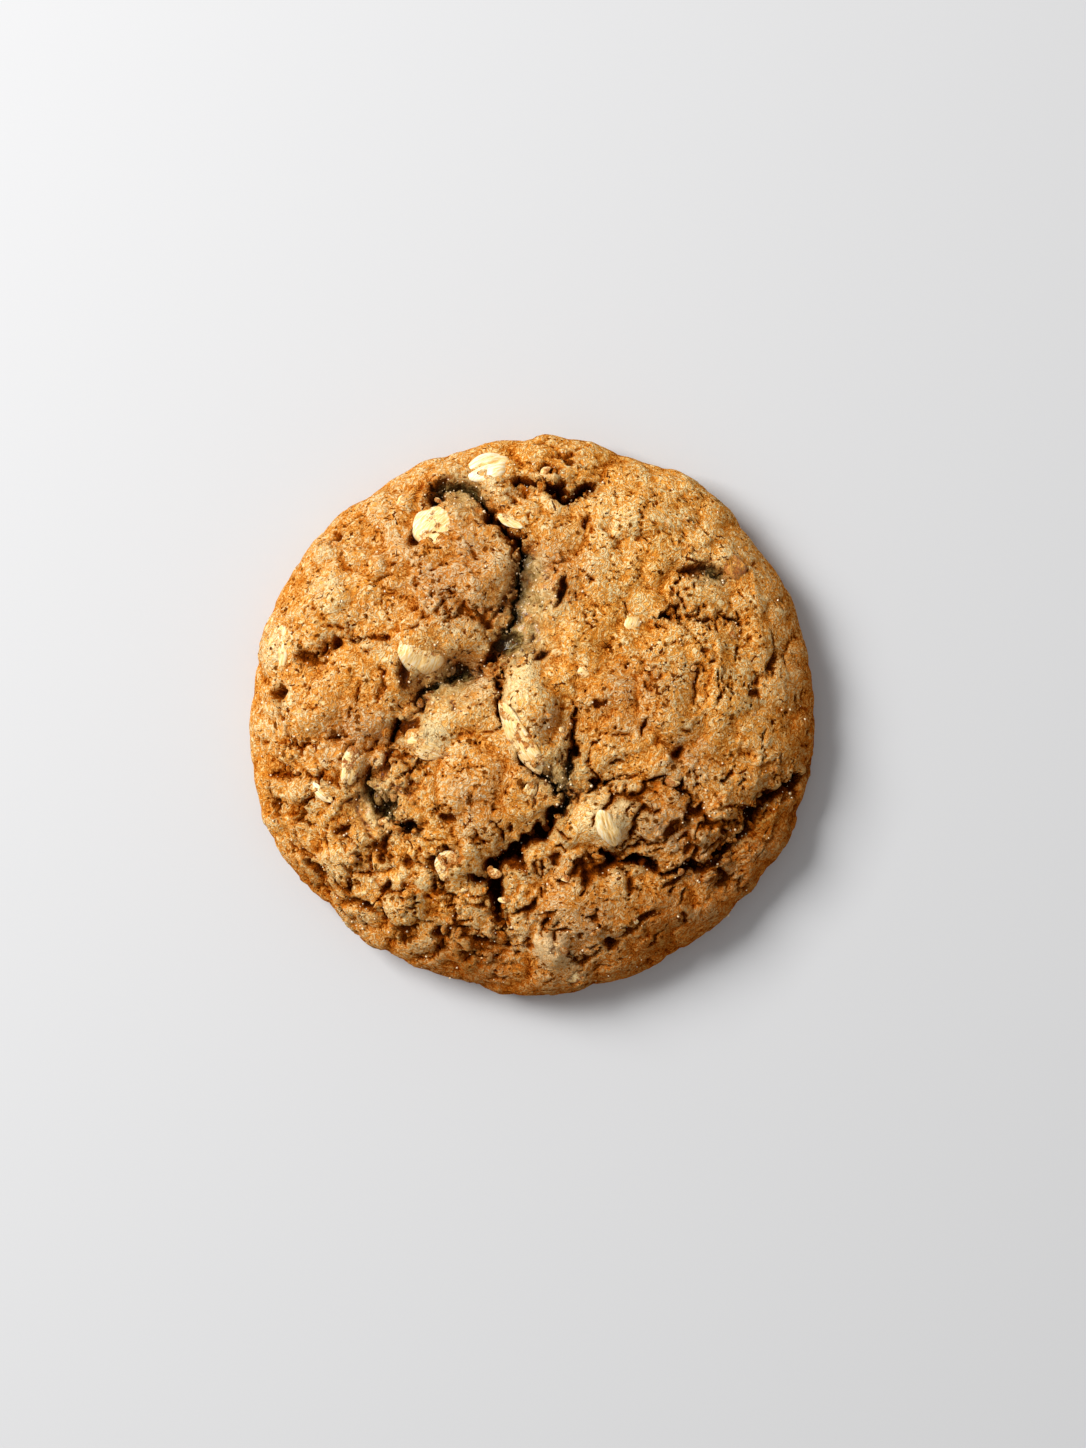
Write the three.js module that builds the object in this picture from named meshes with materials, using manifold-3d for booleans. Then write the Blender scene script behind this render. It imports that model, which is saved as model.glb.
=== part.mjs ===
// An oatmeal cookie: one thick, soft-baked round with a domed top and a flat base.
// The crust has split into plates, and rolled oats stand a little proud of it.
// Millimetres, +Z up. The origin is the middle of the base, and +Y is the far side.
import * as THREE from "three";
import { mergeVertices } from "three/addons/utils/BufferGeometryUtils.js";
import Module from "manifold-3d";

const wasm = await Module();
wasm.setup();

// Driving dimensions
const RADIUS = 42.2; // mean, at the widest part
const HEIGHT = 15.0; // base to the middle of the dome, before the relief
const SHOULDER = 5.2; // height of the widest part
const BASE_INSET = 3.6; // how far the base's edge lies inside the widest part
const BASE_DIP = 0.6; // the skin passes this far under the base plane before the base is cut flat
const DOME_FULLNESS = 3.0; // larger is flatter in the middle
const DOME_ROUNDING = 0.56; // smaller is steeper at the rim

// The outline's waviness: waves round the rim, swing in millimetres, phase in degrees
const OUTLINE_WAVES = [
  [2, 0.52, -31],
  [3, 0.12, 150],
  [5, 0.19, 68],
  [6, 0.1, 144],
  [10, 0.17, -154],
  [12, 0.13, 66],
];

// Plates of crust sag towards the cracks round them.
const PLATE_RISE = 0.9;
const PLATE_SHOULDER = 3.0;
const CRACK_SAMPLES = 60; // points of each crack that the sag is measured from

// Cobbles of dough with creases between them, spread on a sunflower spiral that runs on down the side
const COBBLE_COUNT = 190;
const COBBLE_REACH = 54; // the spiral's outer radius
const COBBLE_SHIFT = [-3.2, 3.2]; // off the spiral, each way
const COBBLE_TOP = [-0.9, 1.0];
const COBBLE_CURVE = 0.1; // fall per square millimetre away from a cobble's top
const COBBLE_BLEND = 7; // larger makes the creases sharper
const COBBLE_SEED = 7;
const RIM_START = 5; // larger keeps the rim's sideways bulges closer to the rim
const RIM_BULGE = 0.55; // sideways bulge of a cobble at the rim, as a share of its height on top

// Larger swells and hollows: x, y, half length, half width, turn in degrees, height
const SWELLS = [
  [0.6, -1.4, 8.6, 5.2, -68, 1.5], // chunk between the two middle cracks
  [-10.5, 19.5, 9.0, 7.0, 20, 0.7], // upper left plate
  [-33.5, 1.6, 4.6, 4.2, 0, 1.2], // round lump by the left rim
  [-30.8, 17.6, 4.2, 3.2, 70, 0.9],
  [12.4, 29.8, 5.0, 3.8, 15, 0.9],
  [29.8, 22.8, 3.8, 2.2, -62, 1.3], // nut-shaped lump
  [22, 3.5, 11, 9, 30, 0.7], // right plate
  [-9.0, -13.0, 8.0, 5.5, 35, 0.7], // plate below the left crack
  [8.0, -29.0, 9.0, 6.0, 10, 0.8], // front plate
  [14.5, -15.8, 6.4, 3.8, -8, 1.0], // island among the right cracks
  [-30.4, -22.6, 3.6, 2.6, 30, 0.9],
  [-20.5, -29.5, 4.2, 3.4, 0, 0.9],
  [-12.4, 5.4, 6.4, 3.4, 25, -1.6], // sunken crumb left of the middle
  [-9.0, 33.0, 3.4, 2.0, -25, -1.6], // sunken crumb by the far rim
  [-1.0, 15.5, 4.0, 2.2, 80, -0.7],
  [-24.0, -14.0, 4.0, 2.6, 10, -0.9],
];

// Cracks: widest gap, depth, and the middle line seen from above
const CRACKS = [
  // Middle to the far rim
  {
    width: 3.0,
    depth: 5.0,
    path: [[-15, 33.4], [-10.4, 33.6], [-7.4, 31.2], [-1.5, 24.5], [-1.8, 20.2], [-2.7, 13], [-5.2, 8.6]],
  },
  // Left of the middle chunk
  {
    width: 2.6,
    depth: 5.0,
    path: [[-5.2, 8.6], [-4.7, 2.6], [-3.6, -2.4], [-1.6, -6.6], [2.6, -9.4], [5, -12.2]],
  },
  // Middle to the near rim
  {
    width: 2.8,
    depth: 5.0,
    path: [[5, -11.6], [3.4, -15.4], [-2.4, -19.4], [-5.8, -22.6], [-5.2, -27], [-4.4, -34]],
  },
  // Middle to the left
  {
    width: 2.5,
    depth: 4.2,
    path: [[-5.2, 8.4], [-10.9, 5.9], [-16.4, 3.2], [-19.3, -1.4], [-23.4, -9.6], [-22, -14], [-17.6, -17]],
  },
  // Right of the middle chunk
  {
    width: 1.5,
    depth: 3.2,
    path: [[5.8, 2.4], [5.9, -2.6], [5.5, -6.6], [5.2, -11]],
  },
  // Round the island
  {
    width: 1.6,
    depth: 3.2,
    path: [[5.2, -10.6], [9.8, -10.4], [16, -10], [20.2, -11], [23.4, -13.6], [20.2, -17.4], [11.5, -20.8]],
  },
  // Over the front plate
  {
    width: 1.9,
    depth: 4.0,
    path: [[9.4, -20], [14.5, -21.7], [21, -22.5], [25.6, -23], [32.4, -25.4]],
  },
  // Right rim
  {
    width: 1.9,
    depth: 3.6,
    path: [[41, -8.4], [38, -10.4], [34.4, -13.4], [31.6, -17], [25.2, -23]],
  },
  // Far rim
  {
    width: 1.7,
    depth: 4.0,
    path: [[-3.6, 35.2], [0.5, 33.6], [4.2, 32.7], [7.6, 33], [10.2, 35]],
  },
  // Right plate
  {
    width: 1.1,
    depth: 2.2,
    path: [[16.6, 14.2], [20.8, 15.2], [26, 15], [30.4, 14]],
  },
  // Nut-shaped lump
  {
    width: 1.4,
    depth: 2.2,
    path: [[22.2, 20], [26.4, 21.4], [29.2, 20.4]],
  },
  // Upper left plate
  {
    width: 1.1,
    depth: 2.0,
    path: [[-36, 7.2], [-30, 10.4], [-24.6, 12.6]],
  },
  // Left rim
  {
    width: 1.2,
    depth: 1.8,
    path: [[-39.2, -9], [-37.4, -16.4], [-33.8, -21.2], [-30.2, -26.4], [-26, -31.6]],
  },
];
const CRACK_STEP = 2.6; // between stations along a crack
const CRACK_FEWEST_STEPS = 3;
const CRACK_TIP = 0.3; // width at a crack's ends, as a share of its widest
const CRACK_FLOOR = 0.3; // width at its bottom, as a share of its top
const CRACK_RAGGED = [0.36, 0.72]; // each lip's distance from the middle line, as a share of the width
const CRACK_SEED = 19;
const CUTTER_RISE = 2; // a cutter stands this far above the crust

// Pits where a gas bubble or a lost crumb left a hole: x, y, radius
const PITS = [
  [-13.6, 34.2, 1.7],
  [-37.6, 3.4, 1.3],
  [-22.4, -13.4, 1.8],
  [-18.2, -16.6, 1.5],
  [-5.7, -22.1, 1.6],
  [-25.2, -23.4, 1.2],
  [32.4, -15.2, 1.7],
  [-4.4, -36.2, 1.3],
];
const PIT_DETAIL = 1; // splits of each side of an icosahedron
const PIT_STRETCH = 1.5; // depth over width
const PIT_SINK = 0.6; // how far its middle lies under the crust, as a share of its radius

// Rolled oats: x, y, length, width, turn and tilt in degrees
const OATS = [
  [-6.5, 37.0, 6.6, 5.2, 33, 14],
  [-14.6, 27.3, 5.6, 5.2, 60, 10],
  [-16.0, 9.8, 7.4, 6.4, 70, 12],
  [-38.0, 9.8, 5.4, 2.8, 82, 20],
  [-3.4, 28.9, 3.4, 1.9, -28, 10],
  [-18.8, 32.0, 3.4, 2.4, 30, 5],
  [-23.4, 22.6, 3.0, 2.0, 75, 8],
  [-30.0, 24.6, 3.8, 3.4, 20, 5],
  [-14.9, -4.4, 6.0, 3.6, -15, 16],
  [-26.6, -7.4, 5.4, 2.2, 80, 12],
  [-31.0, -11.5, 3.2, 1.4, -45, 10],
  [-0.6, -11.2, 4.0, 2.0, 64, 10],
  [-12.3, -22.0, 4.8, 4.0, 50, 8],
  [11.0, -17.0, 6.2, 3.0, -66, 14],
  [-1.7, -5.6, 9.4, 3.0, -54, 24],
  [15.1, 13.2, 3.6, 2.8, 70, 12],
];
const OAT_THICKNESS = 1.5;
const OAT_PROUD = 0.25; // its middle stands this far out of the crust
const OAT_FACETS = [10, 6]; // round it, and from pole to pole
const NORMAL_REACH = 3.5; // the crust's slope is measured across this much either side

// How the starting unit sphere is shared out: the top is above the equator, the side is the band under it
const BODY_DETAIL = 17; // splits of each side of the starting icosahedron
const EQUATOR = -0.45;
const SIDE_BAND = 0.25;
const RIM_CROWDING = 1.3; // larger sets more facets near the rim
const WELD = 1e-3; // corners closer than this are one

// Repeatable draw between 0 and 1
function seeded(seed) {
  let state = seed;
  return () => {
    state = (state + 0x6d2b79f5) | 0;
    let mixed = Math.imul(state ^ (state >>> 15), 1 | state);
    mixed = (mixed + Math.imul(mixed ^ (mixed >>> 7), 61 | mixed)) ^ mixed;
    return ((mixed ^ (mixed >>> 14)) >>> 0) / 2 ** 32;
  };
}

const between = ([low, high], share) => low + (high - low) * share;

// A point seen from above, from its distance to the middle and its direction
const plan = (reach, angle) => [reach * Math.cos(angle), reach * Math.sin(angle)];

// How far the rim lies from the middle in this direction
function outline(angle) {
  let radius = RADIUS;
  for (const [waves, swing, phase] of OUTLINE_WAVES)
    radius += swing * Math.cos(waves * angle + THREE.MathUtils.degToRad(phase));
  return radius;
}

function makeCobbles() {
  const draw = seeded(COBBLE_SEED);
  const golden = Math.PI * (3 - Math.sqrt(5));
  return Array.from({ length: COBBLE_COUNT }, (_, i) => {
    const [x, y] = plan(COBBLE_REACH * Math.sqrt(i / COBBLE_COUNT), i * golden);
    const shiftX = between(COBBLE_SHIFT, draw());
    const shiftY = between(COBBLE_SHIFT, draw());
    return [x + shiftX, y + shiftY, between(COBBLE_TOP, draw())];
  });
}

const curveOf = (crack) =>
  new THREE.CatmullRomCurve3(crack.path.map(([x, y]) => new THREE.Vector3(x, y, 0)), false, "centripetal");

const COBBLES = makeCobbles();
const CRACK_LINES = CRACKS.flatMap((crack) => curveOf(crack).getSpacedPoints(CRACK_SAMPLES));

// Height of the cobbles: a soft form of the highest cobble over each point
function cobbles(x, y) {
  let sum = 0;
  for (const [cobbleX, cobbleY, top] of COBBLES) {
    const drop = COBBLE_CURVE * ((x - cobbleX) ** 2 + (y - cobbleY) ** 2);
    sum += Math.exp(COBBLE_BLEND * (top - drop));
  }
  return Math.log(sum) / COBBLE_BLEND;
}

// How far the crust sags towards the nearest crack
function plates(x, y) {
  let nearest = Infinity;
  for (const point of CRACK_LINES) nearest = Math.min(nearest, Math.hypot(x - point.x, y - point.y));
  return PLATE_RISE * (1 - Math.exp(-((nearest / PLATE_SHOULDER) ** 2)));
}

function swells(x, y) {
  let height = 0;
  for (const [swellX, swellY, long, wide, turn, rise] of SWELLS) {
    const angle = THREE.MathUtils.degToRad(turn);
    const along = ((x - swellX) * Math.cos(angle) + (y - swellY) * Math.sin(angle)) / long;
    const across = ((y - swellY) * Math.cos(angle) - (x - swellX) * Math.sin(angle)) / wide;
    height += rise * Math.exp(-(along ** 2 + across ** 2));
  }
  return height;
}

// Height of the crust over a point of the plan
function crust(x, y) {
  const share = Math.min(Math.hypot(x, y) / outline(Math.atan2(y, x)), 1);
  const dome = (1 - share ** DOME_FULLNESS) ** DOME_ROUNDING;
  const relief = plates(x, y) + cobbles(x, y) + swells(x, y);
  return SHOULDER + (HEIGHT - SHOULDER) * dome + relief * Math.sqrt(dome);
}

// The top's skin from the sphere above the equator: distance from the middle, and height
function topSkin(spot, angle, rim) {
  const lift = (spot - EQUATOR) / (1 - EQUATOR);
  const reach = rim * Math.sqrt(1 - lift ** RIM_CROWDING);
  const bulge = RIM_BULGE * (reach / rim) ** RIM_START * cobbles(...plan(reach, angle));
  return [reach + bulge, crust(...plan(reach, angle))];
}

// The side's and the base's skin. The side carries on the cobbles of the top as if it were unrolled flat.
function sideSkin(spot, angle, rim) {
  const turn = Math.min(1, (EQUATOR - spot) / SIDE_BAND) * (Math.PI / 2);
  const drop = (SHOULDER + BASE_DIP) * Math.sin(turn);
  const bulge = RIM_BULGE * cobbles(...plan(rim + drop, angle));
  const edge = rim - BASE_INSET * (1 - Math.cos(turn)) + bulge;
  const baseRing = Math.sqrt(1 - (EQUATOR - SIDE_BAND) ** 2);
  const inward = Math.min(1, Math.sqrt(1 - spot ** 2) / baseRing);
  return [edge * inward, SHOULDER - drop];
}

// Moves a point of the unit sphere to the cookie's skin.
function skin(point) {
  const angle = Math.atan2(point.y, point.x);
  const [reach, z] = (point.z >= EQUATOR ? topSkin : sideSkin)(point.z, angle, outline(angle));
  return point.set(...plan(reach, angle), z);
}

// A geometry's surface with each shared corner held once
function merge(geometry) {
  geometry.deleteAttribute("normal");
  geometry.deleteAttribute("uv");
  return mergeVertices(geometry, WELD);
}

// A closed three.js geometry as a solid that can be joined and cut
function solidOf(geometry) {
  const merged = merge(geometry);
  return new wasm.Manifold(
    new wasm.Mesh({
      numProp: 3,
      vertProperties: merged.attributes.position.array,
      triVerts: new Uint32Array(merged.index.array),
    }),
  );
}

function geometryOf(solid) {
  const { numProp, vertProperties, triVerts } = solid.getMesh();
  const positions = new THREE.InterleavedBuffer(vertProperties, numProp);
  const geometry = new THREE.BufferGeometry();
  geometry.setAttribute("position", new THREE.InterleavedBufferAttribute(positions, 3, 0));
  geometry.setIndex(new THREE.BufferAttribute(triVerts, 1));
  const flat = geometry.toNonIndexed();
  flat.computeVertexNormals();
  return flat;
}

function makeBody() {
  const sphere = merge(new THREE.IcosahedronGeometry(1, BODY_DETAIL));
  const places = sphere.attributes.position;
  const point = new THREE.Vector3();
  for (let i = 0; i < places.count; i++) {
    skin(point.fromBufferAttribute(places, i));
    places.setXYZ(i, point.x, point.y, point.z);
  }
  return solidOf(sphere);
}

// A wedge with ragged sides along a crack, to be cut out of the crust
function makeCutter(crack, draw) {
  const curve = curveOf(crack);
  const steps = Math.max(CRACK_FEWEST_STEPS, Math.round(curve.getLength() / CRACK_STEP));
  const ring = 4;
  const corners = [];
  for (let i = 0; i <= steps; i++) {
    const at = curve.getPointAt(i / steps);
    const along = curve.getTangentAt(i / steps);
    const taper = CRACK_TIP + (1 - CRACK_TIP) * Math.sqrt(Math.max(0, Math.sin((Math.PI * i) / steps)));
    const left = crack.width * taper * between(CRACK_RAGGED, draw());
    const right = crack.width * taper * between(CRACK_RAGGED, draw());
    const top = crust(at.x, at.y);
    const section = [
      [left, top + CUTTER_RISE],
      [left * CRACK_FLOOR, top - crack.depth * taper],
      [-right * CRACK_FLOOR, top - crack.depth * taper],
      [-right, top + CUTTER_RISE],
    ];
    for (const [offset, z] of section) corners.push(at.x - along.y * offset, at.y + along.x * offset, z);
  }
  const faces = [0, 1, 2, 0, 2, 3];
  for (let i = 0; i < steps; i++)
    for (let side = 0; side < ring; side++) {
      const near = i * ring + side;
      const next = i * ring + ((side + 1) % ring);
      faces.push(near, next + ring, next, near, near + ring, next + ring);
    }
  const last = steps * ring;
  faces.push(last, last + 2, last + 1, last, last + 3, last + 2);
  const geometry = new THREE.BufferGeometry();
  geometry.setAttribute("position", new THREE.Float32BufferAttribute(corners, 3));
  geometry.setIndex(faces);
  return solidOf(geometry);
}

function makePit([x, y, radius]) {
  const pit = new THREE.IcosahedronGeometry(radius, PIT_DETAIL);
  pit.scale(1, 1, PIT_STRETCH);
  pit.translate(x, y, crust(x, y) - radius * PIT_SINK);
  return solidOf(pit);
}

// The direction straight out of the crust
function crustNormal(x, y) {
  return new THREE.Vector3(
    crust(x - NORMAL_REACH, y) - crust(x + NORMAL_REACH, y),
    crust(x, y - NORMAL_REACH) - crust(x, y + NORMAL_REACH),
    2 * NORMAL_REACH,
  ).normalize();
}

function makeOat([x, y, length, width, turn, tilt]) {
  const oat = new THREE.SphereGeometry(0.5, ...OAT_FACETS);
  oat.rotateX(Math.PI / 2);
  oat.scale(length, width, OAT_THICKNESS);
  oat.rotateX(THREE.MathUtils.degToRad(tilt));
  oat.rotateZ(THREE.MathUtils.degToRad(turn));
  const normal = crustNormal(x, y);
  const lean = new THREE.Quaternion().setFromUnitVectors(new THREE.Vector3(0, 0, 1), normal);
  oat.applyQuaternion(lean);
  oat.translate(x + normal.x * OAT_PROUD, y + normal.y * OAT_PROUD, crust(x, y) + normal.z * OAT_PROUD);
  return solidOf(oat);
}

// Everything below the base plane
function makeBench() {
  const bench = new THREE.BoxGeometry(4 * RADIUS, 4 * RADIUS, HEIGHT);
  bench.translate(0, 0, -HEIGHT / 2);
  return solidOf(bench);
}

// Welds the skin, and drops the scraps that hang by a corner or that a cut leaves loose.
function cleaned(geometry) {
  const pieces = solidOf(geometry).decompose();
  const largest = pieces.reduce((most, piece) => (piece.volume() > most.volume() ? piece : most));
  return geometryOf(largest);
}

function makeCookie() {
  const draw = seeded(CRACK_SEED);
  let cookie = makeBody();
  for (const crack of CRACKS) cookie = cookie.subtract(makeCutter(crack, draw));
  for (const pit of PITS) cookie = cookie.subtract(makePit(pit));
  for (const oat of OATS) cookie = cookie.add(makeOat(oat));
  return geometryOf(cookie.subtract(makeBench()));
}

// Sets the middle of the outline over the origin.
function centred(geometry) {
  geometry.computeBoundingBox();
  const middle = geometry.boundingBox.getCenter(new THREE.Vector3());
  return geometry.translate(-middle.x, -middle.y, 0);
}

const geometry = cleaned(centred(makeCookie()));

const bakedCrust = new THREE.MeshStandardMaterial({ color: 0xbc8142, roughness: 0.85, metalness: 0 });
const cookie = new THREE.Mesh(geometry, bakedCrust);
cookie.name = "cookie";

const part = new THREE.Group();
part.add(cookie);

export default part;
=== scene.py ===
import math
from functools import cached_property
from types import SimpleNamespace

import bmesh
import bpy
import numpy as np
from mathutils import Matrix, Vector, noise


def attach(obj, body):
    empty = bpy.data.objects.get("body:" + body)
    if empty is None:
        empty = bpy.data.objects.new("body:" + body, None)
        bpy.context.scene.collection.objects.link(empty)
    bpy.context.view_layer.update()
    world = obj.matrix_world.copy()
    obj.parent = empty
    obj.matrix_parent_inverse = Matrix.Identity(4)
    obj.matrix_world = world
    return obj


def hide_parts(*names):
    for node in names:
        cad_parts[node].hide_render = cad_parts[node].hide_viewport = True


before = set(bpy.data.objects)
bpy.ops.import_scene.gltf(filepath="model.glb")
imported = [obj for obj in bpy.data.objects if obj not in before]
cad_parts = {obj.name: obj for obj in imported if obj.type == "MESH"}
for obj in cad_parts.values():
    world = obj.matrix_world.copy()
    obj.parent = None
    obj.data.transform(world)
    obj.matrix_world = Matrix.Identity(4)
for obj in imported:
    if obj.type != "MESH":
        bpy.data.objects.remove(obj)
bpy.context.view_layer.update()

MM = 0.001
FAR = 99.0
NOISE_SEED = 4
noise.seed_set(NOISE_SEED)

# Form of the cookie, as in the solid
RADIUS = 42.2
HEIGHT = 15.0
SHOULDER = 5.2
BASE_INSET = 3.6
BASE_DIP = 0.6
DOME_FULLNESS = 3.0
DOME_ROUNDING = 0.56
OUTLINE_WAVES = [
    (2, 0.52, -31),
    (3, 0.12, 150),
    (5, 0.19, 68),
    (6, 0.1, 144),
    (10, 0.17, -154),
    (12, 0.13, 66),
]
PLATE_RISE = 0.9
PLATE_SHOULDER = 3.0
COBBLE_COUNT = 190
COBBLE_REACH = 54.0
COBBLE_SHIFT = (-3.2, 3.2)
COBBLE_TOP = (-0.9, 1.0)
COBBLE_CURVE = 0.1
COBBLE_BLEND = 7.0
COBBLE_SEED = 7
RIM_START = 5
RIM_BULGE = 0.55

# Grid of the crust's mesh, which starts as a sphere
BODY_CUTS = 127
EQUATOR = -0.52  # height of the widest part and breadth of the side below it, as shares of the radius
SIDE_BAND = 0.34
RIM_CROWDING = 1.3  # the higher, the more of the rows lie near the rim

# Larger swells and hollows: x, y, half length, half width, turn in degrees, height
SWELLS = [
    (0.4, -1.6, 8.6, 5.0, -68, 2.4),
    (-10.5, 19.5, 9.6, 7.6, 20, 1.2),
    (-33.5, 1.6, 4.6, 4.2, 0, 1.8),
    (-30.8, 17.6, 4.2, 3.2, 70, 1.4),
    (12.4, 29.8, 5.0, 3.8, 15, 1.5),
    (29.8, 22.8, 3.4, 2.2, -62, 1.8),
    (22.0, 3.5, 11.0, 9.0, 30, 1.2),
    (-9.0, -13.0, 8.0, 5.5, 35, 1.2),
    (8.0, -29.0, 9.0, 6.0, 10, 1.3),
    (14.5, -15.8, 6.4, 3.8, -8, 1.6),
    (-30.4, -22.6, 3.6, 2.6, 30, 1.3),
    (-20.5, -29.5, 4.2, 3.4, 0, 1.3),
    (-11.4, 5.0, 6.4, 3.4, 25, -2.6),
    (-9.4, 32.8, 3.6, 2.2, -35, -1.0),
    (0.0, 16.0, 4.6, 2.6, 80, -1.0),
    (-24.0, -14.0, 4.0, 2.6, 10, -1.1),
    (-22.3, 22.4, 2.8, 2.4, 0, 0.9),
    (-33.0, 11.2, 3.2, 2.6, 20, 0.9),
    (19.4, 29.0, 2.8, 2.4, 0, 0.9),
    (4.8, 36.2, 3.4, 1.9, 8, 1.0),
    (13.0, -23.2, 1.8, 1.6, 0, 1.0),
    (2.4, -33.8, 3.0, 2.4, 0, 1.0),
    (26.0, -16.8, 3.4, 2.6, 60, 1.1),
]
SWELL_EDGE = 1.8  # above 1, a swell has a flatter top and steeper sides

# Cracks: widest gap, depth, reach of the gentle wall, and the middle line seen from above
CRACKS = [
    (1.3, 5.0, 3.0, [(-15, 33.4), (-10.4, 33.6), (-7.4, 31.2), (-1.5, 24.5)]),
    (1.4, 5.0, 6.0, [(-2.6, 26.4), (-1.6, 24.0), (-2.2, 20.2), (-3.8, 15.5), (-4.8, 11.5), (-5.6, 8.6)]),
    (0.7, 4.6, 1.6, [(-5.2, 8.6), (-4.7, 2.6), (-3.6, -2.4), (-1.6, -6.6), (2.6, -9.4), (5, -12.2)]),
    (1.8, 5.0, 2.4, [(5, -11.6), (3.4, -15.4), (-2.4, -19.4), (-5.8, -22.6), (-5.2, -27), (-4.4, -34)]),
    (1.0, 4.2, 2.6, [(-5.2, 8.4), (-10.9, 5.9), (-16.4, 3.2)]),
    (1.2, 4.2, 2.0, [(-15.6, 3.4), (-19.3, -1.4), (-20.6, -5)]),
    (1.4, 4.2, 2.0, [(-23.8, -10.2), (-22.6, -13.6), (-17.6, -17)]),
    (0.8, 3.2, 1.2, [(5.8, 2.4), (5.9, -2.6), (5.5, -6.6), (5.2, -11)]),
    (0.9, 3.2, 2.0, [(5.2, -10.6), (9.8, -10.4), (14, -10.2)]),
    (0.6, 2.4, 1.2, [(16, -10), (20.2, -11), (23.4, -13.6), (20.2, -17.4), (11.5, -20.8)]),
    (1.6, 4.4, 1.4, [(9.4, -20), (14.5, -21.7), (21, -22.5), (25.6, -23), (32.4, -25.4)]),
    (1.5, 4.0, 1.6, [(41, -8.4), (38, -10.4), (34.4, -13.4), (31.6, -17), (25.2, -23)]),
    (1.8, 4.8, 0.8, [(-2.8, 34.9), (0.2, 34.0), (3.2, 33.3), (6.2, 33.3), (8.6, 34), (10.2, 35.2)]),
    (1.0, 2.8, 0.8, [(16.6, 14.2), (20.8, 15.2), (26, 15), (30.4, 14)]),
    (0.8, 2.2, 2.0, [(22.2, 20), (26.4, 21.4), (29.2, 20.4)]),
    (0.5, 2.0, 1.0, [(-36, 7.2), (-30, 10.4), (-24.6, 12.6)]),
    (0.6, 1.8, 1.2, [(-39.2, -9), (-37.4, -16.4), (-33.8, -21.2), (-30.2, -26.4), (-26, -31.6)]),
]
CRACK_SAMPLES = 24  # points between two corners of a crack's line
CRACK_TIP = 0.3  # how open a crack is at its ends
CRACK_EDGES = (0.1, 1.15)  # where the floor ends and the lip is reached, as shares of the half width
CRACK_SLIT = 0.05  # added to the half width
CRACK_WARP = [(5.0, 1.5), (1.9, 1.1), (0.8, 0.7)]  # raggedness of the lips: wavelength, swing
CRACK_OPEN = (0.25, 1.5)  # how far a crack opens and closes along its length
CRACK_OPEN_SPAN = 3.2
CRACK_APART = 10  # cracks of unlike depth open and close at unlike places
PLATE_REACH = 4  # how many shoulders away a crack is still felt
POINTS_AT_ONCE = 4000
LIP_SHIFT = 0.5  # sideways raggedness of the lips, which lets them overhang
LIP_REACH = 1.6
LIP_GRAIN = 1.3
APRON_DIRECTION = math.radians(-25)  # the gentle walls rise to this side
APRON_SIDE = (-0.1, 0.9)
APRON_SOFT = 0.3
APRON_DEPTH = 0.42  # depth of the gentle wall's foot, as a share of the crack's

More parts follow.
